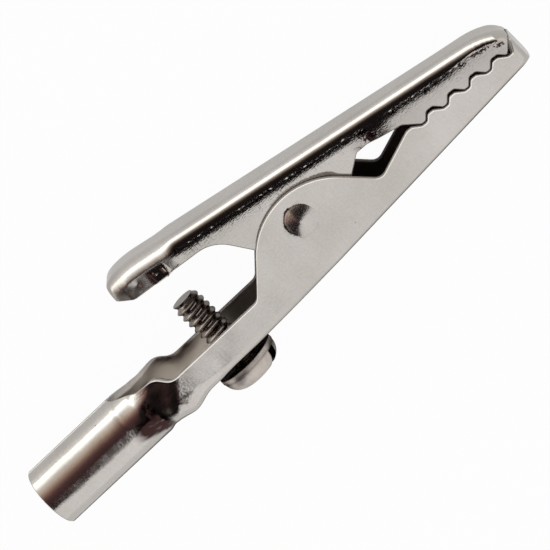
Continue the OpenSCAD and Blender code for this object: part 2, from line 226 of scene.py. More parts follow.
# Teeth
TEETH = 5
TOOTH_PITCH = 2.05
TOOTH_MARGIN = 0.8
TOOTH_SHARE = 0.56
TOOTH_FLAT = 0.25
TOOTH_R = 0.3
TOOTH_SHIFT = 0.08
LOWER_TOOTH_H = 0.44
UPPER_TOOTH_H = 0.58
UPPER_TOOTH_FLAT = 0.2
BITE_GAP = 0.09
BITE_Y = 1.2
BITE_SLOPE = 0.0875
RAKE = 0.4
RAMP = 1.35
RAMP_H = 0.85

# Terminal screw
THREAD_D = 2.45
THREAD_ROOT_D = 1.95
THREAD_PITCH = 0.63
THREAD_GAP = 0.05
SCREW_LENGTH = 6.7
HEAD_D = 5.2
HEAD_H = 1.75
HEAD_GAP = 0.58
RIM_H = 0.45
RIM_R = 0.1
RIM_STEP = 0.04
DOME_INSET = 0.05
THREAD_SUNK = 0.3
TIP_TAPER = 0.13
TIP_LENGTH = 0.7
SLOT_W = 0.8
SLOT_DEPTH = 1.2
SLOT_ANGLE = math.radians(29)

# Torsion spring
WIRE_D = 0.6
COIL_R = 1.45
COIL_STEP = 1.05
COIL_TURNS = 2
LEG_REACH = 4.8
LEG_GAP = 0.05

# Finish of the lower jaw, with its painted shade and painted reflection: strengths from 0 to 1, with places
# along X, up Y, or down from an edge
BOSS_MARGIN = 0.1
BOSS_GRAIN = 0.7
BOSS_DULL = 0.55
BARREL_GRAIN = 0.28
FLAT_GRAIN = 0.15
BARREL_TO = (RIDGE_X - 0.5, RIDGE_X)
FLAT_FROM = (13.6, 15)
# Painted shade along the ridge at the barrel's end, as stippled dark specks
RIDGE_PAINTED_SHADE = 0.62
RIDGE_W = 0.05
RIDGE_LOW_W = 0.25
RIDGE_LOW_TO = (-2.0, -1.0)
RIDGE_BAND = (-2.2, -1.8, 1.2, 2.0)
MATTE_NECK_H = 2.2
MATTE_CHANNEL_H = 0.8
MATTE_CHANNEL_FROM = (14.5, 17)
MATTE_MOUTH = 0.7
MATTE_MOUTH_TO = (11, 12.5)
MATTE_BAND = (BARREL_LENGTH, BARREL_LENGTH + 0.8, 17.5, 20.3)
# Painted reflection: a dark patch over the barrel's end, running into the neck between a low and a high line
BARREL_PAINTED_REFLECTION = 1.2
REFLECTION_FROM = 8.3
REFLECTION_RUN = 1.3
REFLECTION_LOW = (-1.2, -2.0)
REFLECTION_HIGH = (0.1, 0.9)
REFLECTION_TAIL = (0.6, 0.3)
REFLECTION_TAIL_FROM = (-1.2, -0.4)
REFLECTION_SOFT = 0.3
REFLECTION_FADE = 0.4
REFLECTION_END = 0.6
# Painted shade along the neck's fold
FOLD_PAINTED_SHADE = 0.8
FOLD_SHADE_W = 0.09
# Painted reflection: a dark patch on the neck
NECK_PAINTED_REFLECTION = 0.55
NECK_REFLECTION_AT = (12.6, 0.3)
NECK_REFLECTION_STRETCH = 1.2
NECK_REFLECTION_FADE = (0.3, 1.3)
# Painted shade under the channel's rim, and inside the jaw, deeper from the window on
RIM_PAINTED_SHADE = 0.9
RIM_FADE = (0.1, 1.0)
RIM_BAND = (12.3, 13.3, 15.4, 17.2)
CHANNEL_PAINTED_SHADE = 0.4
WINDOW_PAINTED_SHADE = 0.62
WINDOW_FROM = (25, 31)
INSIDE_BAND = (17.5, 20.5, 46, 48)

# Finish of the upper jaw: strengths from 0 to 1, with places along X or down from the crease of its back
REAR_TO = (20.2, 21.5)
FRONT_FROM = (GROOVE_TO - 0.4, GROOVE_TO + 0.4)
WALL_GRAIN = 0.8
WALL_GRAIN_BAND = (-0.15, 0.05, 0.8, 1.8)
SCRATCH_BAND = (-0.05, 0.03, 0.3, 1.2)
GRIME_LEAST = 0.2
GRIME_MOST = 0.75
GRIME_BAND = (0.15, 0.25, 0.2, 0.5)
SMEAR = 0.62
SMEAR_X = 37.9
SMEAR_W = 1.3
SMEAR_BAND = (0.3, 0.5, 0.9, 1.6)
DULL_FROM = (-0.7, -0.2)
POLISHED_BAND = (LEAN_FROM, LEAN_FROM + 0.4, LEAN_TO, LEAN_TO + 0.2)
POLISHED_FROM = (0, 0.3)
# Darker patches on the handle's wall below the crease, a darker lower front wall, and a darker handle end
HANDLE_DARKENING = 0.45
HANDLE_DARKENING_FROM = (0.1, 0.5)
HANDLE_DARKENING_TO = (17.8, LEAN_FROM)
FRONT_DARKENING = 0.14
FRONT_DARKENING_FROM = (0.2, 0.6)
END_DARKENING = 0.16
END_DARKENING_TO = (HANDLE_X + 0.6, HANDLE_X + 2.4)

# Darkening of the screw, strengths from 0 to 1: painted shade under the head and in the slot, a dark line at
# the head's rim step, and a darker thread
RIM_DARK_LINE = 0.5
RIM_DARK_LINE_W = 0.08
THREAD_DARKENING = 0.58
UNDER_HEAD_H = 0.1
DARK_MARGIN = 0.02

# Fineness of the meshes: steps along the jaws and where the fine ones lie, steps round corners, and sides of
# round forms. Bends over SHARP are sharp edges, and lines run on by PAST where a sheet's edge cuts them.
COLUMN_STEP = 0.3
LEAST_STEP = 0.015
LEAST_ROW = 0.02
FINE_STEP = 0.1
NECK_COLUMNS = 62
GROOVE_COLUMNS = 270
HANDLE_STEP = 0.08
HANDLE_COLUMNS = 60
HANDLE_COLUMNS_FROM = LEAN_FROM - 1.7
TIED_BAND = (HANDLE_X + 0.8, HANDLE_X + 2, CLIP_LENGTH - 2.6, CLIP_LENGTH - 1.6)
ARC_STEP = math.radians(15)
ARC_CHORD = 0.3
ROD_SIDES = 32
BOSS_SIDES = 48
BOSS_STEPS = 14
HEAD_SIDES = 96
THREAD_SIDES = 48
WIRE_SIDES = 14
COIL_STEPS = 96
SHARP = math.radians(38)
PAST = 1.0


def lerp(a, b, share):
    """Value at a share of the way from a to b."""
    return a + (b - a) * share


def part(x, start, end):
    """How far x is on the way from start to end, between 0 and 1."""
    return min(max((x - start) / (end - start), 0), 1)


def ramp(x, start, end):
    """0 before start, 1 after end, with a smooth rise between them."""
    share = part(x, start, end)
    return share * share * (3 - 2 * share)


def hill(x, start, full, ease, end):
    """0 before start and after end, 1 between full and ease, with smooth slopes."""
    return ramp(x, start, full) * (1 - ramp(x, ease, end))


def rounded(corners):
    """Points of an open line through corners (x, y, radius), with each corner rounded."""
    points = [Vector(corners[0][:2])]
    for before, (x, y, radius), after in zip(corners, corners[1:], corners[2:]):
        at = Vector((x, y))
        back = (Vector(before[:2]) - at).normalized()
        on = (Vector(after[:2]) - at).normalized()
        half = math.acos(max(-1, min(1, back.dot(on)))) / 2
        centre = at + (back + on).normalized() * radius / math.sin(half)
        start = at + back * radius / math.tan(half) - centre
        sweep = math.copysign(math.pi - 2 * half, -back.cross(on))
        steps = max(2, round(abs(sweep) / min(ARC_STEP, ARC_CHORD / radius)))
        for i in range(steps + 1):
            points.append(centre + Matrix.Rotation(sweep * i / steps, 2) @ start)
    points.append(Vector(corners[-1][:2]))
    return points


def height(line, x):
    """Height of a line that runs along X, at x."""
    i = min(max(bisect_right(line, x, key=lambda p: p.x), 1), len(line) - 1)
    a, b = line[i - 1], line[i]
    return lerp(a.y, b.y, (x - a.x) / max(b.x - a.x, 1e-9))


def end_drop(distance, run, fall):
    """How far an end that is rounded over the length run has fallen at a distance from its tip."""
    if distance >= run:
        return 0
    return fall * (1 - math.sqrt(max(0, 1 - (1 - distance / run) ** 2)))


def floor_y(x):
    """Underside of the lower jaw's floor, which is bent at the pivot."""
    if x < HINGE.x:
        return -lerp(FLOOR_DROP, HINGE_DROP, (x - SCREW_X) / (HINGE.x - SCREW_X))
    return -lerp(HINGE_DROP, TIP_DROP, (x - HINGE.x) / (CLIP_LENGTH - HINGE.x))


def lower_half(x):
    """Outer half width of the lower jaw."""
    return lerp(EAR_W / 2, TIP_W / 2, max(0, (x - TAPER_X) / (CLIP_LENGTH - TAPER_X)))


def wing_half(x):
    """Outer half width of the upper jaw's wings, which turn inside the ears."""
    return lower_half(x) - SHEET - WING_GAP


def top_y(x):
    """Top line of the upper jaw, before its ends fall away."""
    return HINGE.y + BACK_RISE - (x - HINGE.x) * JAW_SLOPE


def back_half(x):
    """Outer half width of the upper jaw's rounded back."""
    return lerp(HANDLE_W / 2, TIP_W / 2, (x - HANDLE_X) / (CLIP_LENGTH - HANDLE_X))


def bite(x):
    """Line between the two rows of teeth."""
    return BITE_Y + BITE_SLOPE * (CLIP_LENGTH - x)


def root_x(k):
    """Place along X of the lower jaw's tooth root k, counted from the nose."""
    return CLIP_LENGTH - TOOTH_MARGIN - TOOTH_PITCH * k


def tip_x(k):
    """Place along X of the tooth tip behind root k."""
    return root_x(k) - TOOTH_SHARE * TOOTH_PITCH


def tooth_corner(x, rise):
    """Corner of a tooth at x, by its rise above the line between the rows."""
    return (x, bite(x) + rise - TOOTH_SHIFT, TOOTH_R)


def lower_edge():
    """Top edge of the lower jaw's side walls: shoulder, channel, ear, window and teeth."""
    window_y = HINGE.y - WINDOW_DROP
    corners = [
        (BARREL_LENGTH, BARREL_R, 0),
        (ROLL_END + PAST, SHOULDER_Y, PAST),
        (CHANNEL_X - SHOULDER_RUN, SHOULDER_Y, SHOULDER_R),
        (CHANNEL_X + SHOULDER_RUN / 2, WALL_RISE, SHOULDER_R),
        (HINGE.x - (EAR_APEX - WALL_RISE) / EAR_SLOPE, WALL_RISE, BEND_R),
        (HINGE.x, EAR_APEX, EAR_R),
        (HINGE.x + (EAR_APEX - window_y) / EAR_SLOPE, window_y, BEND_R),
    ]
    for k in reversed(range(TEETH)):
        for x, rise in ((tip_x(k), LOWER_TOOTH_H), (root_x(k), 0)):
            corners.append(tooth_corner(x - TOOTH_FLAT, rise - BITE_GAP))
            corners.append(tooth_corner(x + TOOTH_FLAT, rise - BITE_GAP))
    corners.append((CLIP_LENGTH, BITE_Y + FANG_H, 0))
    return rounded(corners)


def upper_edge():
    """Bottom edge of the upper jaw's side walls: heel, handle, wing, window and teeth."""
    heel_x = HANDLE_X + HEEL_LENGTH
    heel_y = top_y(heel_x) - HANDLE_DEPTH
    wing_y = HINGE.y - WING_DROP
    window_y = HINGE.y + WINDOW_RISE
    ramp_x = root_x(TEETH - 1) - RAMP
    corners = [
        (HANDLE_X - PAST, heel_y + HEEL_RISE * (1 + PAST / HEEL_LENGTH), 0),
        (heel_x, heel_y, HEEL_LENGTH),
        (WAIST_X, top_y(WAIST_X) - WAIST_DEPTH, 3),
        (HINGE.x - WING_REAR, wing_y, 1),
        (HINGE.x + WING_FRONT, wing_y, 1),
        (FLARE_START_X + TOOTH_R, window_y, TOOTH_R),
        (WINDOW_END_X, window_y, TOOTH_R),
        (ramp_x, bite(ramp_x) + RAMP_H, TOOTH_R),
    ]
    for k in reversed(range(TEETH)):
        corners.append(tooth_corner(root_x(k) - UPPER_TOOTH_FLAT, 0))
        if k > 0:
            corners.append(tooth_corner(root_x(k) + UPPER_TOOTH_FLAT, 0))
            corners.append(tooth_corner(tip_x(k - 1) - UPPER_TOOTH_FLAT, UPPER_TOOTH_H))
            corners.append(tooth_corner(tip_x(k - 1) + RAKE, UPPER_TOOTH_H))
    corners.append((CLIP_LENGTH, BITE_Y + MOUTH_RISE, 0))
    return rounded(corners)


def arc(y, z, radius, start, end, steps):
    """Points (y, z) of a circle's arc between two angles, measured from the Z axis."""
    angles = [lerp(start, end, i / steps) for i in range(steps + 1)]
    return [Vector((y + radius * math.sin(a), z + radius * math.cos(a))) for a in angles]


def bulge(distance, width):
    """Smooth hill of height 1, which is gone at about twice its width."""
    return math.exp(-(distance / width) ** 2)


def speckle(co, along_x, up_y, seed=0):
    """Noise at a point, mostly from -0.5 to 0.5, with its fineness along X and up Y per millimetre."""
    return noise.noise(Vector((co.x * along_x, co.y * up_y, seed)))


def along(line, length):
    """Point at a length along a line."""
    for a, b in zip(line, line[1:]):
        step = (b - a).length
        if length <= step and step > 0:
            return a.lerp(b, length / step)
        length -= step
    return line[-1].copy()


def total_length(line):
    """Length of a whole line."""
    return sum((b - a).length for a, b in zip(line, line[1:]))


def length_to(line, y):
    """Length of a rising line (y, z) up to the height y."""
    length = 0
    for a, b in zip(line, line[1:]):
        if b.x >= y:
            return length + (b - a).length * max(0, y - a.x) / max(b.x - a.x, 1e-9)
        length += (b - a).length
    return length


def row_place(row, rows, marks):
    """Length at which a row lies, where each zone between two marks has its own count of rows."""
    for count, start, end in zip(rows, marks, marks[1:]):
        if row <= count:
            return lerp(start, end, row / count)
        row -= count
    return marks[-1]


def cut_above(line, y):
    """The part of a line (y, z) from where it last rises past the height y to its end."""
    for i in reversed(range(len(line) - 1)):
        a, b = line[i], line[i + 1]
        if a.x < y <= b.x:
            return [a.lerp(b, (y - a.x) / (b.x - a.x))] + line[i + 1:]
    return line


def make_columns(line, start, end, extra):
    """Places along X for a sheet's columns: the points of its edge, those of its ends, and steps between."""
    places = sorted([p.x for p in line if start < p.x < end] + [start, end] + extra)
    columns = [places[0]]
    for x in places[1:]:
        gap = x - columns[-1]
        if gap < LEAST_STEP:
            continue
        pieces = math.ceil(gap / COLUMN_STEP)
        columns += [columns[-1] + gap * (i + 1) / pieces for i in range(pieces)]
    columns[-1] = end
    return columns


def sheet_grid(columns, rows, place):
    """Sheet with columns along X and rows on both sides of its middle.

    place gives each point from its x, its row counted from the middle, and its side.
    """
    bm = bmesh.new()
    bmesh.ops.create_grid(bm, x_segments=len(columns) - 1, y_segments=2 * rows, size=1)
    for v in bm.verts:
        column = round((v.co.x / 2 + 0.5) * (len(columns) - 1))
        row = round(v.co.y * rows)
        v.co = place(columns[column], abs(row), 1 if row > 0 else -1)
    return bm


def close_end(bm, x):
    """Closes the sheet's open end at x with a flat face."""
    ends = [e for e in bm.edges if e.is_boundary and all(abs(v.co.x - x) < 1e-4 for v in e.verts)]
    verts = {v for e in ends for v in e.verts}
    tips = [v for v in verts if sum(v in e.verts for e in ends) == 1]
    ends.append(bm.edges.new(tips))
    bmesh.ops.holes_fill(bm, edges=ends, sides=0)


def thicken(bm):
    """Gives a sheet its thickness, inwards, and breaks the corners of its sheared edges."""
    sheared = bm.verts.layers.float.new("sheared")
    inside = bm.verts.layers.float.new("inner")
    bmesh.ops.recalc_face_normals(bm, faces=bm.faces[:])
    inner = set(bmesh.ops.solidify(bm, geom=bm.faces[:], thickness=SHEET)["geom"])
    bm.normal_update()
    for v in bm.verts:
        v[inside] = 1 if v in inner else 0
    rim = {f for f in bm.faces if len({v in inner for v in f.verts}) == 2}
    edges = [e for e in bm.edges if sum(f in rim for f in e.link_faces) == 1]
    made = bmesh.ops.bevel(bm, geom=edges, offset=BURR, affect="EDGES", segments=1, profile=0.5,
                           material=-1, clamp_overlap=False)
    corners = set(made["verts"])
    for v in corners:
        v[sheared] = all(w in corners for f in v.link_faces for w in f.verts)


def to_mesh(bm, name):
    """Mesh made from bm, which is freed."""
    mesh = bpy.data.meshes.new(name)
    bm.to_mesh(mesh)
    bm.free()
    return mesh


def new_object(name, data, material=None):
    """Object in the scene with a mesh, a camera or a lamp as its data."""
    obj = bpy.data.objects.new(name, data)
    bpy.context.scene.collection.objects.link(obj)
    if material:
        data.materials.append(material)
    return obj


def combine(bm, tool, operation):
    """bm joined with the closed shape tool, or cut by it."""
    body = new_object("body", to_mesh(bm, "body"))
    other = new_object("tool", to_mesh(tool, "tool"))
    modifier = body.modifiers.new("combine", "BOOLEAN")
    modifier.operation = operation
    modifier.solver = "EXACT"
    modifier.object = other
    evaluated = body.evaluated_get(bpy.context.evaluated_depsgraph_get())
    result = bmesh.new()
    result.from_mesh(evaluated.to_mesh())
    evaluated.to_mesh_clear()
    for obj in (body, other):
        mesh = obj.data
        bpy.data.objects.remove(obj)
        bpy.data.meshes.remove(mesh)
    return result


def finish_piece(bm, name, node, body, material, marks=None):
    """Makes the object of a piece that was built in millimetres, which stands for a CAD node.

    marks gives the strength of each kind of mark at a point, by its name.
    """
    found = [marks(v.co) for v in bm.verts] if marks else [{}]
    for mark in found[0]:
        layer = bm.verts.layers.float.new(mark)
        for v, strengths in zip(bm.verts, found):
            v[layer] = strengths[mark]
    bmesh.ops.scale(bm, verts=bm.verts[:], vec=(MM, MM, MM))
    bm.normal_update()
    for face in bm.faces:
        face.smooth = True
    for edge in bm.edges:
        edge.smooth = edge.is_manifold and edge.calc_face_angle() < SHARP
    obj = new_object(name, to_mesh(bm, name), material)
    weighted = obj.modifiers.new("flat faces stay flat", "WEIGHTED_NORMAL")
    weighted.keep_sharp = True
    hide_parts(node)
    if body:
        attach(obj, body)
    return obj


def spun(profile, steps, turns=1, rise=0):
    """Surface of a profile of (radius, height) points that turns about Z and may rise at each step."""
    bm = bmesh.new()
    verts = [bm.verts.new((r, 0, z)) for r, z in profile]
    edges = [bm.edges.new(pair) for pair in zip(verts, verts[1:])]
    bmesh.ops.spin(bm, geom=verts + edges, cent=(0, 0, 0), axis=(0, 0, 1), dvec=(0, 0, rise),
                   angle=math.tau * turns, steps=steps, use_merge=not rise)
    return bm


def weld(bm):
    """Joins points that lie together, and turns the faces outwards."""
    bmesh.ops.remove_doubles(bm, verts=bm.verts[:], dist=1e-4)
    bmesh.ops.recalc_face_normals(bm, faces=bm.faces[:])


def turned_shape(profile, segments):
    """Closed shape turned about Z from a profile whose ends lie on the axis."""
    bm = spun(profile, segments)
    weld(bm)
    return bm


def rod(radius, length):
    """Closed cylinder from the origin along Z."""
    return turned_shape([(0, 0), (radius, 0), (radius, length), (0, length)], ROD_SIDES)


def moved(bm, matrix):
    """bm after a transform."""
    bmesh.ops.transform(bm, matrix=matrix, verts=bm.verts[:])
    return bm


def on_side(side, z):
    """Place on the pivot axis, with Z turned to point out of the clip on one side of it."""
    turn = Matrix.Rotation(0 if side > 0 else math.pi, 4, "X")
    return Matrix.Translation((HINGE.x, HINGE.y, side * z)) @ turn


def on_screw(y):
    """Place on the screw's axis at the height y, with Z turned to point up the screw."""
    return Matrix.Translation((SCREW_X, y, 0)) @ Matrix.Rotation(-math.pi / 2, 4, "X")


# Rows of the sheets, zone by zone from the sheared edge or from the middle of the floor
FLOOR_ROWS = 5
FLOOR_BEND_ROWS = 11
LOWER_WALL_ROWS = 22
UPPER_ROWS = [1, 6, 4, 6, 2, 14, 4]


def neck_half(x, y):
    """Outer half width of the neck, which widens later at its top than at its bottom."""
    start = NECK_FROM + NECK_FROM_SLANT * y
    end = NECK_TO + NECK_TO_SLANT * y
    share = part(x, start, end)
    soft = share ** 3 * (share * (6 * share - 15) + 10)
    return lerp(BARREL_R, EAR_W / 2, soft)


def lower_line(x):
    """Half of the lower jaw's cross-section at x, from the middle of its floor: floor, bend and wall."""
    steps = 12
    if x < ROLL_END:
        half, base, top, base_r, top_r = BARREL_R, -BARREL_R, BARREL_R, BARREL_R, BARREL_R
    elif x < CHANNEL_X:
        share = (x - ROLL_END) / (CHANNEL_X - ROLL_END)
        bent = share * share
        half = neck_half(x, 0)
        base = lerp(-BARREL_R, floor_y(CHANNEL_X) - SAG, bent)
        base += NECK_PINCH * hill(x, *PINCH_BAND)
        top = lerp(BARREL_R, BARREL_R + BEND_R, share)
        base_r = lerp(BARREL_R, CHANNEL_BEND_R, bent)
        top_r = lerp(BARREL_R, BEND_R, share)
    else:
        half = lower_half(x) - end_drop(CLIP_LENGTH - x, NOSE_R, NOSE_R) - EAR_W / 2 + neck_half(x, 0)
        base = floor_y(x) - SAG * (1 - ramp(x, CHANNEL_X, CHANNEL_X + SAG_LENGTH))
        top = HINGE.y + EAR_R
        base_r = lerp(CHANNEL_BEND_R, BEND_R, ramp(x, CHANNEL_X, CHANNEL_BEND_END))
        top_r = BEND_R
    floor = [Vector((base, (half - base_r) * i / 4)) for i in range(4)]
    bend = arc(base + base_r, half - base_r, base_r, -math.pi / 2, 0, steps)
    roof = arc(top - top_r, half - top_r, top_r, 0, math.pi / 2, 2 * steps)
    return floor, bend, roof


def fold_share(x, y, width):
    """How near a point is to the fold of the neck, from 0 to 1."""
    fold_y = FOLD_AT.y + FOLD_SLOPE * (x - FOLD_AT.x)
    return bulge(y - fold_y, width) * hill(x, *FOLD_BAND)


def neck_relief(x, y):
    """How far the forming marks of the neck stand out: a lip at the barrel's end and a fold."""
    rise = part(x, LIP_FROM, LIP_TO)
    lip = LIP_H * rise * rise * (1 - ramp(x, *LIP_FADE)) * hill(y, *LIP_BAND)
    return lip - FOLD_D * fold_share(x, y, FOLD_W)


def make_lower_jaw(material):
    """Lower jaw: barrel, neck, channel, ears with pressed bosses, teeth and nose from one sheet."""
    edge = lower_edge()
    nose = [CLIP_LENGTH - NOSE_R * (1 - math.cos(math.radians(a))) for a in range(0, 91, 18)]
    neck = [LIP_FROM + FINE_STEP * i for i in range(1, NECK_COLUMNS)]
    bends = [ROLL_END, CHANNEL_X, SCREW_X, TAPER_X, HINGE.x]
    columns = make_columns(edge, 0, CLIP_LENGTH, nose + neck + bends)
    rows = [FLOOR_ROWS, FLOOR_BEND_ROWS, LOWER_WALL_ROWS, 1]
    total_rows = sum(rows)

    lines = {}
    for x in columns:
        floor, bend, roof = lower_line(x)
        line = floor + bend + roof
        stop = height(edge, x)
        kept = []
        for a, b in zip(line, line[1:]):
            kept.append(a)
            if x < BARREL_LENGTH and b.y < SEAM / 2 and b.x > 0:
                kept.append(a.lerp(b, (a.y - SEAM / 2) / (a.y - b.y)))
                break
            if b.x >= stop and x >= BARREL_LENGTH:
                kept.append(a.lerp(b, (stop - a.x) / (b.x - a.x)))
                break
        whole = total_length(kept)
        floor_end = total_length(floor + bend[:1])
        lines[x] = (kept, [0, floor_end, floor_end + total_length(bend), whole - EDGE_BAND, whole])

    def place(x, row, side):
        line, marks = lines[x]
        even = row_place(row, [total_rows - 1, 1], [0, marks[-2], marks[-1]])
        tied = row_place(row, rows, marks)
        p = along(line, lerp(even, tied, ramp(x, ROLL_END, CHANNEL_X + SAG_LENGTH)))
        if LIP_FROM < x < CHANNEL_X + SAG_LENGTH:
            out = Vector((0 if x > CHANNEL_X - 1 else p.x, p.y)).normalized()
            flank = neck_half(x, p.x) / neck_half(x, 0)
            p = Vector((p.x, p.y * flank)) + out * neck_relief(x, p.x)
        return Vector((x, p.x, side * p.y))

    bm = sheet_grid(columns, total_rows, place)
    close_end(bm, CLIP_LENGTH)
    thicken(bm)

    radii = [BOSS_D / 2 * i / BOSS_STEPS for i in range(BOSS_STEPS + 1)]
    slopes = [lerp(BOSS_TOP_SLOPE, BOSS_FOOT_SLOPE, 2 * r / BOSS_D) if r > BOSS_FLAT_R else 0 for r in radii]
    falls = [math.tan(math.radians(slope)) for slope in slopes]
    cap = [(r, BOSS_H * (1 - sum(falls[:i + 1]) / sum(falls))) for i, r in enumerate(radii)]
    cap.reverse()
    ear = lower_half(HINGE.x)
    for side in (-1, 1):
        dome = turned_shape([(0, -SHEET / 2), (BOSS_D / 2, -SHEET / 2)] + cap, BOSS_SIDES)
        bm = combine(bm, moved(dome, on_side(side, ear)), "UNION")
    for side in (-1, 1):
        socket = rod(PIVOT_D / 2 + PIVOT_GAP, SHEET / 2 + PIVOT_H + PIVOT_GAP)
        bm = combine(bm, moved(socket, on_side(side, ear - 1.5 * SHEET)), "DIFFERENCE")
    hole = rod(THREAD_D / 2 + THREAD_GAP, 2 * SHEET)
    bm = combine(bm, moved(hole, on_screw(floor_y(SCREW_X) - SHEET / 2)), "DIFFERENCE")

    def painted_shade_and_reflection(co, below):
        """Painted shade under the rim and inside the channel, or painted reflection on the barrel's end and
        the neck, and painted shade along its fold.
        """
        streak = 0.9 + 0.4 * speckle(co, 1.2, 5)
        outside = lower_half(co.x) - EAR_W / 2 + neck_half(co.x, co.y)
        # Painted shade under the rim and deep inside the jaw
        if co.x > RIDGE_X + 1 and abs(co.z) < outside - SHEET / 2:
            under_rim = (1 - ramp(below, *RIM_FADE)) * hill(co.x, *RIM_BAND)
            deep = lerp(CHANNEL_PAINTED_SHADE, WINDOW_PAINTED_SHADE, ramp(co.x, *WINDOW_FROM)) * hill(co.x, *INSIDE_BAND)
            return max(RIM_PAINTED_SHADE * streak * under_rim, deep)
        # Painted reflection on the barrel's end and the neck, and painted shade along the neck's fold
        low = lerp(*REFLECTION_LOW, (co.x - REFLECTION_FROM) / (RIDGE_X - REFLECTION_FROM))
        high = lerp(*REFLECTION_HIGH, ramp(co.x, *BARREL_TO))
        tail = RIDGE_X + lerp(*REFLECTION_TAIL, ramp(co.y, *REFLECTION_TAIL_FROM))
        barrel = hill(co.y, low - REFLECTION_SOFT / 2, low + REFLECTION_SOFT, high - REFLECTION_FADE, high + REFLECTION_FADE)
        barrel *= hill(co.x, REFLECTION_FROM, REFLECTION_FROM + REFLECTION_RUN, tail, tail + REFLECTION_END)
        from_neck_reflection = math.hypot(co.x - NECK_REFLECTION_AT[0], (co.y - NECK_REFLECTION_AT[1]) / NECK_REFLECTION_STRETCH)
        neck_reflection = NECK_PAINTED_REFLECTION * (1 - ramp(from_neck_reflection, *NECK_REFLECTION_FADE))
        fold = FOLD_PAINTED_SHADE * fold_share(co.x, co.y, FOLD_SHADE_W)
        return max(BARREL_PAINTED_REFLECTION * streak * barrel, streak * neck_reflection, fold)

    def marks(co):
        below = height(edge, co.x) - co.y
        from_axis = math.hypot(co.x - HINGE.x, co.y - HINGE.y)
        on_boss = from_axis < BOSS_D / 2 + BOSS_MARGIN and abs(co.z) > ear - BOSS_MARGIN / 2
        neck_grain = lerp(1, FLAT_GRAIN, ramp(co.x, *FLAT_FROM))
        grain = lerp(BARREL_GRAIN, neck_grain, ramp(co.x, *BARREL_TO))
        deep = lerp(MATTE_NECK_H, MATTE_CHANNEL_H, ramp(co.x, *MATTE_CHANNEL_FROM))
        mouth = MATTE_MOUTH * (1 - ramp(co.x, *MATTE_MOUTH_TO))
        # Painted shade along the ridge, as stippled dark specks
        ridge_w = lerp(RIDGE_LOW_W, RIDGE_W, ramp(co.y, *RIDGE_LOW_TO))
        return {
            "worked": BOSS_GRAIN if on_boss else grain,
            "matte": max(ramp(below, 0, deep), mouth) * hill(co.x, *MATTE_BAND),
            "grime": RIDGE_PAINTED_SHADE * bulge(co.x - RIDGE_X, ridge_w) * hill(co.y, *RIDGE_BAND),
            "stained": painted_shade_and_reflection(co, below),
            "dull": BOSS_DULL if on_boss else 0,
        }

    return finish_piece(bm, "lower_jaw_sheet", "lower_jaw", "base", material, marks)


def upper_top(x):
    """Top line of the upper jaw, with its ends fallen away."""
    heel = end_drop(x - HANDLE_X, HEEL_RUN, HEEL_FALL)
    brow = end_drop(CLIP_LENGTH - x, BROW_RUN, BROW_FALL)
    return top_y(x) - max(heel, brow)


def upper_half(x):
    """Outer half width of the upper jaw's back, with its ends rounded."""
    heel = HEEL_FACET * max(0, HANDLE_X + HANDLE_R - x) + end_drop(x - HANDLE_X, HEEL_EDGE_R, HEEL_EDGE_R)
    nose = NOSE_FACET * max(0, x - CLIP_LENGTH + NOSE_R) + end_drop(CLIP_LENGTH - x, HEEL_EDGE_R, HEEL_EDGE_R)
    return back_half(x) - max(heel, nose)


def crown(x):
    """Radius of the rounded back at x, and the angle at which a crease ends it."""
    handle = hill(x, *HANDLE_BAND)
    r = min(lerp(CROWN_R, HANDLE_CROWN_R, handle), upper_half(x) - SEAM)
    angle = lerp(CREASE_ANGLE, HANDLE_CREASE_ANGLE, handle)
    return r, lerp(angle, NOSE_CREASE_ANGLE, ramp(x, NOSE_CREASE_FROM, BAND_END))


def crease_y(x):
    """Height of the crease between the rounded back and the side wall."""
    r, angle = crown(x)
    return upper_top(x) - r + r * math.sin(angle)


def upper_line(x):
    """Half of the upper jaw's cross-section at x, from under its wall to the middle of its back.

    With it come the heights of its zones and the half width of the back's flat middle.
    """
    steps = 8
    top, half = upper_top(x), upper_half(x)
    r, angle = crown(x)
    front = ramp(x, FLARE_START_X, FLARE_END_X)
    faded = ramp(x, CROWN_FROM, CROWN_TO) * (1 - FADE_LOSS * ramp(x, FADE_FROM, BAND_END))
    drop = lerp(FADE_DROP, FRONT_FADE_DROP, front) * faded
    flat = half - CROWN_R * (1 - math.cos(CREASE_ANGLE)) - drop - r * math.cos(angle)
    bend = arc(top - r, flat, r, angle, math.pi / 2, 18)
    crease = bend[0]
    foot = crease.x - lerp(FADE_H, FRONT_FADE_H, front)
    low = foot - JOGGLE_H
    side = crease.y + drop
    inset = ramp(x, WING_START_X, TAPER_X) * (1 - front)
    wall = side - inset * max(0, side - wing_half(x))
    lift = GROOVE_W * GROOVE_LEAN * faded
    groove_foot = crease.x - GROOVE_W
    line = [Vector((-PAST, wall))]
    for i in range(steps + 1):
        line.append(Vector((lerp(low, foot, i / steps), lerp(wall, side, ramp(i, 0, steps)))))
    for i in range(1, steps + 1):
        line.append(Vector((lerp(foot, groove_foot, i / steps), side - (drop - lift) * (i / steps) ** 2)))
    torn = min(1, max(0, 3 * noise.noise(Vector((x * TEAR_RATE, 0, 0))) - 0.1))
    torn *= min(1, max(0.2, 0.7 + 1.6 * noise.noise(Vector((x * TEAR_PATCH_RATE, 7, 0)))))
    raised = GROOVE_D * torn * ramp(x, GROOVE_FROM, GROOVE_FROM + 1) * (1 - FRONT_TEAR_LOSS * front)
    line.append(Vector((crease.x - GROOVE_W / 2, crease.y + lift / 2 + raised)))
    return line + bend + [Vector((top, 0))], (low, foot, groove_foot, crease.x), flat


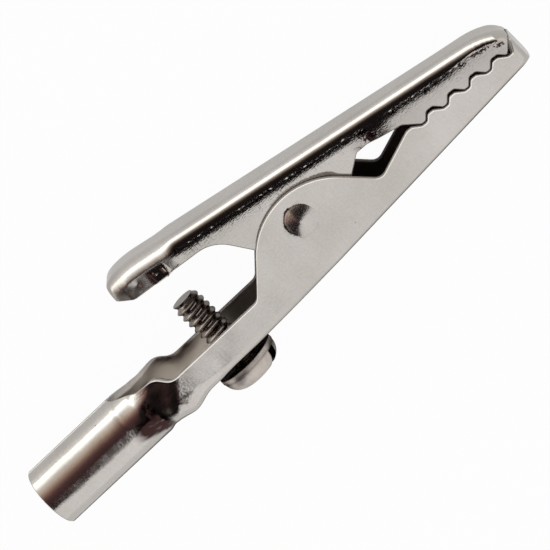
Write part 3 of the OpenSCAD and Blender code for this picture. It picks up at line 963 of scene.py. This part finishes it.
def wall_relief(x, y):
    """How far the pressed marks of the upper jaw's side walls stand out at (x, y)."""
    down = max(0, crease_y(x) - y)
    lean = lerp(REAR_LEAN * ramp(x, *REAR_LEAN_FROM), LEAN, ramp(x, LEAN_FROM, LEAN_FROM + LEAN_RUN))
    out = lean * (1 - ramp(x, LEAN_TO - LEAN_EASE, LEAN_TO)) * max(0, down - LEAN_DROP)
    out += FRONT_LEAN * hill(x, *FRONT_LEAN_BAND) * down
    for mark_x, mark_y, radius, high in WALL_MARKS:
        out += high * bulge(math.hypot(x - mark_x, y - mark_y), radius)
    ripple = RIPPLE_H * math.sin(math.tau * (x - RIPPLE_X) / RIPPLE_PITCH)
    return out + ripple * bulge(x - RIPPLE_X, RIPPLE_W) * hill(down, *RIPPLE_BAND)


def make_upper_jaw(material):
    """Upper jaw: thumb handle, wings with pressed pivots, teeth and nose from one sheet."""
    edge = upper_edge()
    rounds = [1 - math.cos(math.radians(a)) for a in range(0, 91, 15)]
    nose_end = CLIP_LENGTH - NOSE_GAP
    ends = [HANDLE_X + HANDLE_R * r for r in rounds] + [HANDLE_X + HEEL_RUN * r for r in rounds]
    ends += [nose_end - BROW_RUN * r for r in rounds]
    ends += [HANDLE_COLUMNS_FROM + HANDLE_STEP * i for i in range(HANDLE_COLUMNS)]
    ends += [GROOVE_FROM + FINE_STEP * i for i in range(GROOVE_COLUMNS)]
    columns = make_columns(edge, HANDLE_X, nose_end, ends)
    total_rows = sum(UPPER_ROWS)

    lines = {}
    for x in columns:
        line, zones, flat = upper_line(x)
        kept = cut_above(line, min(height(edge, x), upper_top(x) - LEAST_ROW))
        whole = total_length(kept)
        marks = [0, min(EDGE_BAND, whole / 8)] + [length_to(kept, y) for y in zones] + [whole - flat, whole]
        for i in range(2, len(marks) - 1):
            marks[i] = max(marks[i], marks[i - 1] + LEAST_ROW)
        lines[x] = (kept, marks)

    def place(x, from_middle, side):
        row = total_rows - from_middle
        line, marks = lines[x]
        even = row_place(row, [1, total_rows - 1], [0, marks[1], marks[-1]])
        tied = row_place(row, UPPER_ROWS, marks)
        p = along(line, lerp(even, tied, hill(x, *TIED_BAND)))
        out = wall_relief(x, p.x) * ramp(p.y, *RELIEF_FROM)
        return Vector((x, p.x, side * (p.y + out)))

    bm = sheet_grid(columns, total_rows, place)
    close_end(bm, HANDLE_X)
    thicken(bm)
    wing = wing_half(HINGE.x)
    for side in (-1, 1):
        pivot = rod(PIVOT_D / 2, SHEET / 2 + WING_GAP + PIVOT_H)
        bm = combine(bm, moved(pivot, on_side(side, wing - SHEET / 2)), "UNION")

    def marks(co):
        rear = 1 - ramp(co.x, *REAR_TO)
        front = ramp(co.x, *FRONT_FROM)
        down = crease_y(co.x) - co.y
        start, full, ease, end = WALL_GRAIN_BAND
        grain = WALL_GRAIN * hill(down, start, full, ease, end + rear)
        start, full, ease, end = GRIME_BAND
        below = hill(down, start, full, ease, end * (1 + front))
        patch = min(GRIME_MOST, max(GRIME_LEAST, 0.5 + 1.2 * speckle(co, 1.1, 1.5)))
        smear = SMEAR * bulge(co.x - SMEAR_X, SMEAR_W) * hill(down, *SMEAR_BAND)
        polished = hill(co.x, *POLISHED_BAND) * ramp(down, *POLISHED_FROM)
        # Darker patches on the handle's wall, lower on the front wall, and at the handle's end
        handle = HANDLE_DARKENING * max(0, 0.5 + speckle(co, 2.2, 2.2, 3)) * rear
        handle *= ramp(down, *HANDLE_DARKENING_FROM) * (1 - ramp(co.x, *HANDLE_DARKENING_TO))
        front_dark = FRONT_DARKENING * front * ramp(down, *FRONT_DARKENING_FROM)
        return {
            "worked": max(FLAT_GRAIN, grain),
            "scratched": max(0, 1 - rear - front) * hill(down, *SCRATCH_BAND),
            "grime": max((1 - rear) * below * patch, smear),
            "dull": rear * ramp(down, *DULL_FROM) * (1 - polished),
            "stained": max(handle, front_dark, END_DARKENING * (1 - ramp(co.x, *END_DARKENING_TO))),
        }

    return finish_piece(bm, "upper_jaw_sheet", "upper_jaw", "lever", material, marks)


def make_screw(material):
    """Terminal screw: slotted pan head and a cut thread."""
    head_r = HEAD_D / 2
    dome_h = HEAD_H - RIM_H
    dome_r = head_r - DOME_INSET
    quarter = [math.radians(a) for a in range(0, 91, 9)]
    profile = [(0, -HEAD_H)]
    profile += [(dome_r - dome_h + dome_h * math.sin(a), -RIM_H - dome_h * math.cos(a)) for a in quarter]
    profile += [(head_r, -RIM_H + RIM_STEP)]
    profile += [(head_r - RIM_R + RIM_R * math.cos(a), -RIM_R + RIM_R * math.sin(a)) for a in quarter[::3]]
    profile += [(0, 0)]
    bm = turned_shape(profile, HEAD_SIDES)
    slot = bmesh.new()
    bmesh.ops.create_cube(slot, size=1)
    turn = Matrix.Rotation(-SLOT_ANGLE, 4, "Z")
    grow = Matrix.Diagonal((2 * HEAD_D, SLOT_W, 2 * SLOT_DEPTH, 1))
    moved(slot, Matrix.Translation((0, 0, -HEAD_H)) @ turn @ grow)
    bm = combine(bm, slot, "DIFFERENCE")

    turns = math.ceil(SCREW_LENGTH / THREAD_PITCH) + 3
    crest, root = THREAD_D / 2, THREAD_ROOT_D / 2
    deep = crest - root
    flank = [(0, 0), (0.06, 0), (0.3, 0.6), (0.4, 0.9)]
    turn_profile = flank + [(0.5, 1)] + [(1 - share, rise) for share, rise in reversed(flank)]
    start = -1.5 * THREAD_PITCH
    profile = [(root + deep * rise, start + THREAD_PITCH * share) for share, rise in turn_profile]
    thread = spun(profile, THREAD_SIDES * turns, turns, THREAD_PITCH / THREAD_SIDES)
    bmesh.ops.remove_doubles(thread, verts=thread.verts[:], dist=1e-3)
    for z, upward in ((-THREAD_SUNK, False), (SCREW_LENGTH, True)):
        geom = thread.verts[:] + thread.edges[:] + thread.faces[:]
        cut = bmesh.ops.bisect_plane(thread, geom=geom, plane_co=(0, 0, z), plane_no=(0, 0, 1),
                                     clear_outer=upward, clear_inner=not upward)
        rim_edges = [e for e in cut["geom_cut"] if isinstance(e, bmesh.types.BMEdge)]
        bmesh.ops.edgeloop_fill(thread, edges=rim_edges)
    for v in thread.verts:
        shrink = 1 - TIP_TAPER * ramp(v.co.z, SCREW_LENGTH - TIP_LENGTH, SCREW_LENGTH)
        v.co = Vector((v.co.x * shrink, v.co.y * shrink, v.co.z))
    bmesh.ops.recalc_face_normals(thread, faces=thread.faces[:])
    bm = combine(bm, thread, "UNION")

    seat = floor_y(SCREW_X) - HEAD_GAP
    moved(bm, on_screw(seat))

    def marks(co):
        from_slot = abs((co.x - SCREW_X) * math.sin(SLOT_ANGLE) - co.z * math.cos(SLOT_ANGLE))
        above_slot = co.y - (seat - HEAD_H + SLOT_DEPTH)
        # Painted shade under the head and in the slot, a dark line at the rim step, and a darker thread
        darkness = 1 if co.y < seat + UNDER_HEAD_H else THREAD_DARKENING
        if co.y < seat - DARK_MARGIN:
            darkness = RIM_DARK_LINE * bulge(co.y - seat + RIM_H, RIM_DARK_LINE_W)
        if above_slot < DARK_MARGIN and from_slot < SLOT_W / 2 + DARK_MARGIN:
            darkness = 1
        return {"oily": darkness}

    return finish_piece(bm, "terminal_screw_turned", "terminal_screw", "screw", material,
                        marks)


def make_spring(material):
    """Torsion spring: a coil round the pivot axis, with a leg on the floor and a leg under the handle."""
    lower_y = floor_y(HINGE.x - LEG_REACH) + SHEET + LEG_GAP + WIRE_D / 2 - HINGE.y
    slant = math.cos(math.atan(JAW_SLOPE))
    upper_y = top_y(HINGE.x - LEG_REACH) - SHEET - LEG_GAP - WIRE_D / 2 / slant - HINGE.y
    lower_end = Vector((-LEG_REACH, lower_y, 0))
    upper_end = Vector((-LEG_REACH, upper_y, 0))
    first = math.atan2(-lower_y, LEG_REACH) - math.asin(COIL_R / lower_end.length) - math.pi / 2
    last = math.atan2(upper_y, -LEG_REACH) - math.acos(COIL_R / upper_end.length) + math.tau * COIL_TURNS
    sweep = last - first
    half = COIL_STEP * sweep / (2 * math.tau)

    bm = bmesh.new()
    ring = bmesh.ops.create_circle(bm, segments=WIRE_SIDES, radius=WIRE_D / 2)["verts"]
    stand = Matrix.Rotation(math.pi / 2, 4, "X")
    turn = Matrix.Rotation(first, 4, "Z")
    bmesh.ops.transform(bm, matrix=turn @ Matrix.Translation((COIL_R, 0, -half)) @ stand, verts=ring)
    edges = bm.edges[:]
    start = Vector((COIL_R * math.cos(first), COIL_R * math.sin(first), 0))
    end = Vector((COIL_R * math.cos(last), COIL_R * math.sin(last), 0))

    def leg(loop, reach):
        out = bmesh.ops.extrude_edge_only(bm, edges=loop)["geom"]
        verts = [g for g in out if isinstance(g, bmesh.types.BMVert)]
        bmesh.ops.translate(bm, verts=verts, vec=reach)
        rim = [g for g in out if isinstance(g, bmesh.types.BMEdge) and g.is_boundary]
        bmesh.ops.edgeloop_fill(bm, edges=rim)

    coil = bmesh.ops.spin(bm, geom=ring + edges, cent=(0, 0, 0), axis=(0, 0, 1),
                          dvec=(0, 0, 2 * half / COIL_STEPS), angle=sweep, steps=COIL_STEPS)["geom_last"]
    leg(edges, lower_end - start)
    leg([g for g in coil if isinstance(g, bmesh.types.BMEdge)], upper_end - end)
    weld(bm)
    moved(bm, Matrix.Translation(HINGE))
    obj = finish_piece(bm, "torsion_spring_wire", "torsion_spring", None, material)
    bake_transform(obj)
    return obj


def linear(code):
    """Linear colour of an sRGB hex value such as #c4bfba."""
    parts = [int(code[i:i + 2], 16) / 255 for i in (1, 3, 5)]
    return tuple(p / 12.92 if p <= 0.04045 else ((p + 0.055) / 1.055) ** 2.4 for p in parts) + (1,)


def per_mm(size):
    """Texture scale on Object coordinates, which are in metres, for features of a size in millimetres."""
    return 1 / (size * MM)


def add(tree, kind, settings=None, inputs=None):
    """Adds a node with its settings, and sets or links its inputs."""
    node = tree.nodes.new("ShaderNode" + kind)
    for key, value in (settings or {}).items():
        setattr(node, key, value)
    for key, value in (inputs or {}).items():
        if isinstance(value, bpy.types.NodeSocket):
            tree.links.new(value, node.inputs[key])
        else:
            node.inputs[key].default_value = value
    return node


def calc(tree, operation, *values, clamp=False):
    """Result of a Math node."""
    settings = {"operation": operation, "use_clamp": clamp}
    return add(tree, "Math", settings, dict(enumerate(values))).outputs[0]


def spread(tree, value, start, end, low=0, high=1):
    """Value with start to end mapped onto low to high, and held there outside that range."""
    inputs = {"Value": value, "From Min": start, "From Max": end, "To Min": low, "To Max": high}
    return add(tree, "MapRange", inputs=inputs).outputs[0]


def stretch(tree, at, scale, turn=0):
    """Coordinates scaled along the axes and turned about Z by an angle in degrees."""
    inputs = {"Vector": at, "Rotation": (0, 0, math.radians(turn)), "Scale": scale}
    return add(tree, "Mapping", inputs=inputs).outputs[0]


def mottle(tree, at, size, detail):
    """Noise with features of a size in millimetres."""
    inputs = {"Vector": at, "Scale": per_mm(size), "Detail": detail}
    return add(tree, "TexNoise", inputs=inputs).outputs["Fac"]


def tint(tree, share, first, second):
    """Mix of two colours."""
    return add(tree, "Mix", {"data_type": "RGBA"}, {0: share, 6: first, 7: second}).outputs[2]


def colour_ramp(tree, value, stops):
    """Colour that runs through stops of (value, colour), for values from 0 to 1."""
    node = add(tree, "ValToRGB", inputs={"Fac": value})
    elements = node.color_ramp.elements
    while len(elements) < len(stops):
        elements.new(0.5)
    for element, (position, code) in zip(elements, stops):
        element.position = position
        element.color = linear(code)
    return node.outputs["Color"]


def bumped(tree, height, strength, depth, normal=None):
    """Normal of a relief with a depth in millimetres, on top of the relief that gave another normal."""
    inputs = {"Height": height, "Strength": strength, "Distance": depth * MM}
    if normal:
        inputs["Normal"] = normal
    return add(tree, "Bump", inputs=inputs).outputs[0]


def new_material(name):
    """Material with its node tree and its metal shader."""
    material = bpy.data.materials.new(name)
    material.use_nodes = True
    tree = material.node_tree
    return material, tree, tree.nodes["Principled BSDF"]


def attribute(tree, name):
    """Values that a piece's mesh holds under a name."""
    return add(tree, "Attribute", {"attribute_name": name}).outputs["Fac"]


def wire(tree, shader, sockets):
    """Links sockets to the shader's inputs of those names."""
    for name, socket in sockets.items():
        tree.links.new(socket, shader.inputs[name])


# Metals: colours, and sizes of marks and depths of relief in millimetres. HAIR_TURN is in degrees.
PLATE_COLOURS = [(0.4, "#bbb6b0"), (0.9, "#cbc6c1")]
MATTE_COLOUR = "#e2dad0"
DARK_MARK_AND_SHADE_COLOUR = "#3d2b2a"
DARK_STEEL_AND_SHADE_COLOUR = "#443734"
GRAIN_SIZE = 0.1
GRAIN_DEPTH = 0.014
LINE_SIZE = 0.16
LINE_DEPTH = 0.004
WAVE_SIZE = 2.4
WAVE_DEPTH = 0.03
PATCH_SIZE = 5
HAIR_SIZE = 0.11
HAIR_TURN = -8
PIT_SPACING = 3.2
SPECK_SIZE = 0.14
STEEL_PATCH_SIZE = 0.9
STEEL_MARK_SIZE = 0.15
STEEL_MARK_DEPTH = 0.008


def make_nickel():
    """Bright nickel plate on rolled sheet: a mirror with a fine grain and faint lines across the strip.

    Where the sheet was drawn hard the plate is grained and dark grimy specks stay in it, and hairline
    scratches run across the back's crease. Painted shade darkens the neck's ridge and fold and the inside of
    the channel, painted reflection the barrel's end and the neck, and the handle, its end and the front wall
    have darker patches. Handled places are dull, the sheared edges are torn steel, and inside the channel the
    plate is matte.
    """
    material, tree, shader = new_material("bright_nickel_plate")
    at = add(tree, "TexCoord").outputs["Object"]
    mark = {}
    for name in ("worked", "scratched", "grime", "stained", "dull", "sheared", "inner", "matte"):
        mark[name] = attribute(tree, name)
    matte = calc(tree, "MULTIPLY", mark["inner"], mark["matte"])

    grain = mottle(tree, stretch(tree, at, (0.45, 1, 1)), GRAIN_SIZE, 2)
    level = calc(tree, "SUBTRACT", grain, 0.5)
    rubbed = calc(tree, "SUBTRACT", mark["worked"], mark["inner"], clamp=True)
    lines = mottle(tree, stretch(tree, at, (1, 0.08, 0.08)), LINE_SIZE, 2)
    mottled = calc(tree, "MULTIPLY_ADD", level, 0.6, mottle(tree, at, PATCH_SIZE, 2))
    plate = colour_ramp(tree, calc(tree, "MULTIPLY_ADD", lines, 0.3, mottled), PLATE_COLOURS)

    hairs = mottle(tree, stretch(tree, at, (1, 0.09, 1), HAIR_TURN), HAIR_SIZE, 1)
    scratch = calc(tree, "MULTIPLY", spread(tree, hairs, 0.58, 0.72), mark["scratched"])
    cells = add(tree, "TexVoronoi", inputs={"Vector": at, "Scale": per_mm(PIT_SPACING)})
    pit = spread(tree, cells.outputs["Distance"], 0.015, 0.03, 0.7, 0)
    speck = spread(tree, mottle(tree, at, SPECK_SIZE, 1), 0, 1, -0.45, 0.45)
    outer = calc(tree, "SUBTRACT", mark["grime"], mark["inner"])
    specks_and_shade = spread(tree, calc(tree, "ADD", speck, outer), 0.42, 0.58)
    torn = calc(tree, "MULTIPLY", mark["sheared"], 0.38)
    # Dark marks: scratches, pits, grimy specks, painted shade and painted reflection, darker patches, and
    # torn edges
    dark = scratch
    for more in (pit, specks_and_shade, mark["stained"], torn):
        dark = calc(tree, "MAXIMUM", dark, more)
    colour = tint(tree, dark, tint(tree, matte, plate, linear(MATTE_COLOUR)), linear(DARK_MARK_AND_SHADE_COLOUR))

    rough = spread(tree, lines, 0, 1, 0.09, 0.16)
    for name, more in (("inner", 0.4), ("dull", 0.2), ("sheared", 0.25)):
        rough = calc(tree, "MULTIPLY_ADD", mark[name], more, rough)
    metal = calc(tree, "MULTIPLY_ADD", mark["sheared"], -0.7, spread(tree, matte, 0, 1, 1, 0.15))
    normal = bumped(tree, lines, 0.25, LINE_DEPTH)
    normal = bumped(tree, mottle(tree, at, WAVE_SIZE, 1), 1, WAVE_DEPTH, normal)
    normal = bumped(tree, calc(tree, "MULTIPLY", level, rubbed), 1, GRAIN_DEPTH, normal)
    wire(tree, shader, {"Base Color": colour, "Metallic": metal, "Roughness": rough, "Normal": normal})
    return material


def make_steel(name, dark, light, rough_from, rough_to, darkened=False):
    """Satin grey steel with fine marks and darker patches. When darkened, a mesh attribute darkens it for
    painted shade and darker steel, and the metal is shinier there.
    """
    material, tree, shader = new_material(name)
    at = add(tree, "TexCoord").outputs["Object"]
    marks = mottle(tree, at, STEEL_MARK_SIZE, 3)
    colour = colour_ramp(tree, mottle(tree, at, STEEL_PATCH_SIZE, 4), [(0.35, dark), (0.65, light)])
    rough = spread(tree, marks, 0, 1, rough_from, rough_to)
    shader.inputs["Metallic"].default_value = 1
    if darkened:
        oily = attribute(tree, "oily")
        colour = tint(tree, oily, colour, linear(DARK_STEEL_AND_SHADE_COLOUR))
        rough = calc(tree, "MULTIPLY_ADD", oily, -0.25, rough)
        wire(tree, shader, {"Metallic": calc(tree, "MULTIPLY_ADD", oily, 0.5, 0.72, clamp=True)})
    normal = bumped(tree, marks, 0.4, STEEL_MARK_DEPTH)
    wire(tree, shader, {"Base Color": colour, "Roughness": rough, "Normal": normal})
    return material


def make_camera():
    """Camera at the place, aim and roll found from the photo."""
    data = bpy.data.cameras.new("camera")
    data.sensor_width = SENSOR
    data.lens = FOCAL_PIXELS * SENSOR / PICTURE_PIXELS
    data.clip_start = 0.01
    camera = new_object("camera", data)
    ahead = (CAMERA_AIM - CAMERA_AT).normalized()
    level = Vector((1, 0, 0)) - ahead * ahead.x
    level.normalize()
    up = level.cross(ahead)
    if up.y < 0:
        up.negate()
    roll = math.radians(CAMERA_ROLL)
    right = level * math.cos(roll) - up * math.sin(roll)
    above = level * math.sin(roll) + up * math.cos(roll)
    turn = Matrix((right, above, -ahead)).transposed().to_4x4()
    camera.matrix_world = Matrix.Translation(CAMERA_AT * MM) @ turn
    bpy.context.scene.camera = camera


# Table, studio card and lamp, in metres. The table has a painted shadow, a dark strip under the clip, which
# only the metal mirrors. Angles of the card are in degrees about the X axis, from straight up towards +Y.
TABLE_SIZE = 4.0
SEEN_WHITE = 0.965
MIRRORED_WHITE = 0.42
PAPER = "#c4c3c1"
PAPER_ROUGH = 0.25
SHADOW_STRIP_COLOUR = "#4a4442"
STRIP_SLANT = 0.08
STRIP_FRONT = (-0.0075, -0.0045)
STRIP_BACK = (0.004, 0.001)
STRIP_TIP = (0.051, 0.048)
CARD_R = 0.36
CARD_HALF = 1.0
CARD_FROM = -89
CARD_TO = 91
CARD_STEPS = 72
GLOW = 2.3
GLOW_FROM = 58
GLOW_FULL = 76
# Angle below which the card is white: its parts along X, each from a start to an end
LIMIT_STEPS = [(-0.101, -0.0815, -28, -40), (-0.0775, -0.07, 0, 34), (-0.07, 0.02, 0, 1.5),
               (-0.3, -0.18, -62, 0)]
BACK_COLOURS = [(-10, "#1d1919"), (28, "#1d1919"), (38, "#2f2825"), (46, "#6f6058"), (54, "#ab9c8e"),
                (60, "#d2c8bb"), (66, "#ffffff")]
BEHIND_COLOURS = [(-40, "#1d1919"), (2, "#1d1919"), (12, "#33282a"), (24, "#7d605b"), (36, "#b0938a"),
                  (48, "#d8c5b8"), (60, "#fffffa")]
BARREL_COLOURS = [(-30, "#332324"), (-8, "#3f2c2d"), (4, "#523a3a"), (16, "#634747"), (22, "#7d5d57"),
                  (28, "#97766b"), (35, "#b99e8d"), (42, "#d8c3b2"), (49, "#eedfd2"), (60, "#fffffa")]
BACK_ZONE = (-0.077, -0.062)
BEHIND_ZONE = (-0.105, -0.15)
REAR_END_ZONE = (-0.6, -1)
FRONT_END_ZONE = (0.35, 0.6)
REAR_END = "#c8bcae"
FRONT_END = "#a98f80"
LAMP_LENGTH = 0.9
LAMP_WIDTH = 0.22
LAMP_POWER = 2.2
LAMP_AT = (0, 0.5, 0.105)
LAMP_AIM = (0.03, 0, 0)


def bare_material(name):
    """Material with an empty node tree, and the Object coordinates in it."""
    material, tree = new_material(name)[:2]
    tree.nodes.clear()
    place = add(tree, "SeparateXYZ", inputs={0: add(tree, "TexCoord").outputs["Object"]})
    return material, tree, place.outputs


def make_table():
    """White table under the clip, which keeps its soft shadow, with a painted shadow that only the metal
    mirrors.
    """
    bm = bmesh.new()
    bmesh.ops.create_grid(bm, x_segments=1, y_segments=1, size=TABLE_SIZE / 2)
    bmesh.ops.translate(bm, verts=bm.verts[:], vec=(0, 0, cad_box[0][2]))
    material, tree, place = bare_material("white_table")
    path = add(tree, "LightPath").outputs
    mirrored = calc(tree, "MAXIMUM", path["Is Glossy Ray"], path["Is Transmission Ray"])
    mirrored = calc(tree, "MULTIPLY", mirrored, MIRRORED_WHITE)
    seen = calc(tree, "MULTIPLY", path["Is Camera Ray"], SEEN_WHITE)
    # Painted shadow: a dark strip close under the clip, which only glossy rays see
    slant = calc(tree, "MULTIPLY_ADD", place["X"], STRIP_SLANT, place["Y"])
    strip = path["Is Glossy Ray"]
    for value, (start, end) in ((slant, STRIP_FRONT), (place["Y"], STRIP_BACK), (place["X"], STRIP_TIP)):
        strip = calc(tree, "MULTIPLY", strip, spread(tree, value, start, end))
    ground = tint(tree, strip, linear(PAPER), linear(SHADOW_STRIP_COLOUR))
    share = calc(tree, "SUBTRACT", calc(tree, "MAXIMUM", seen, mirrored), strip, clamp=True)
    paper = add(tree, "BsdfPrincipled", inputs={"Base Color": ground, "Roughness": PAPER_ROUGH})
    white = add(tree, "Emission", inputs={"Color": (1, 1, 1, 1), "Strength": 1})
    mixed = add(tree, "MixShader", inputs={0: share, 1: paper.outputs[0], 2: white.outputs[0]})
    add(tree, "OutputMaterial", inputs={"Surface": mixed.outputs[0]})
    table = new_object("table", to_mesh(bm, "table"), material)


def make_card():
    """Dark card over the clip, which only the metal mirrors: black over the jaws, brown over the barrel."""
    bm = bmesh.new()
    verts = [bm.verts.new((x, 0, CARD_R)) for x in (-CARD_HALF, CARD_HALF)]
    edge = bm.edges.new(verts)
    turn = Matrix.Rotation(-math.radians(CARD_FROM), 3, "X")
    bmesh.ops.rotate(bm, verts=verts, cent=(0, 0, 0), matrix=turn)
    bmesh.ops.spin(bm, geom=verts + [edge], cent=(0, 0, 0), axis=(1, 0, 0), dvec=(0, 0, 0),
                   angle=-math.radians(CARD_TO - CARD_FROM), steps=CARD_STEPS)
    material, tree, place = bare_material("dark_card")
    x = place["X"]
    angle = calc(tree, "DEGREES", calc(tree, "ARCTAN2", place["Y"], place["Z"]))
    share = spread(tree, angle, CARD_FROM, CARD_TO)

    def over(colours):
        stops = [((degrees - CARD_FROM) / (CARD_TO - CARD_FROM), code) for degrees, code in colours]
        return colour_ramp(tree, share, stops)

    limit = 0
    for step in LIMIT_STEPS:
        limit = calc(tree, "ADD", limit, spread(tree, x, *step))
    dark = over(BARREL_COLOURS)
    zones = [(BACK_ZONE, over(BACK_COLOURS)), (BEHIND_ZONE, over(BEHIND_COLOURS)),
             (REAR_END_ZONE, linear(REAR_END)), (FRONT_END_ZONE, linear(FRONT_END))]
    for (start, end), shown in zones:
        dark = tint(tree, spread(tree, x, start, end), dark, shown)
    inside = spread(tree, calc(tree, "SUBTRACT", angle, limit), -1, 1)
    bright = add(tree, "MapRange", {"interpolation_type": "SMOOTHSTEP"},
                 {"Value": angle, "From Min": GLOW_FROM, "From Max": GLOW_FULL, "To Min": 1, "To Max": GLOW})
    colour = tint(tree, inside, (1, 1, 1, 1), dark)
    glow = add(tree, "Emission", inputs={"Color": colour, "Strength": bright.outputs[0]})
    add(tree, "OutputMaterial", inputs={"Surface": glow.outputs[0]})
    card = new_object("card", to_mesh(bm, "card"), material)
    card.visible_camera = False
    card.visible_diffuse = False
    card.visible_shadow = False


def make_light():
    """White room, and a long lamp low behind the clip's back."""
    world = bpy.data.worlds.new("room")
    bpy.context.scene.world = world
    world.use_nodes = True
    world.node_tree.nodes["Background"].inputs["Color"].default_value = (1, 1, 1, 1)
    world.node_tree.nodes["Background"].inputs["Strength"].default_value = 1
    data = bpy.data.lights.new("back_lamp", "AREA")
    data.shape = "RECTANGLE"
    data.size = LAMP_LENGTH
    data.size_y = LAMP_WIDTH
    data.energy = LAMP_POWER * math.pi * data.size * data.size_y
    lamp = new_object("back_lamp", data)
    lamp.location = LAMP_AT
    lamp.visible_camera = False
    lamp.visible_glossy = False
    aim = Vector(LAMP_AIM) - lamp.location
    lamp.rotation_euler = aim.to_track_quat("-Z", "Y").to_euler()


bpy.context.scene.view_settings.view_transform = "Standard"
make_camera()
nickel = make_nickel()
make_lower_jaw(nickel)
make_upper_jaw(nickel)
make_screw(make_steel("turned_screw_steel", "#b6ada5", "#cdc4bc", 0.3, 0.42, darkened=True))
make_spring(make_steel("drawn_spring_steel", "#77736e", "#8f8b86", 0.25, 0.4))
make_table()
make_card()
make_light()
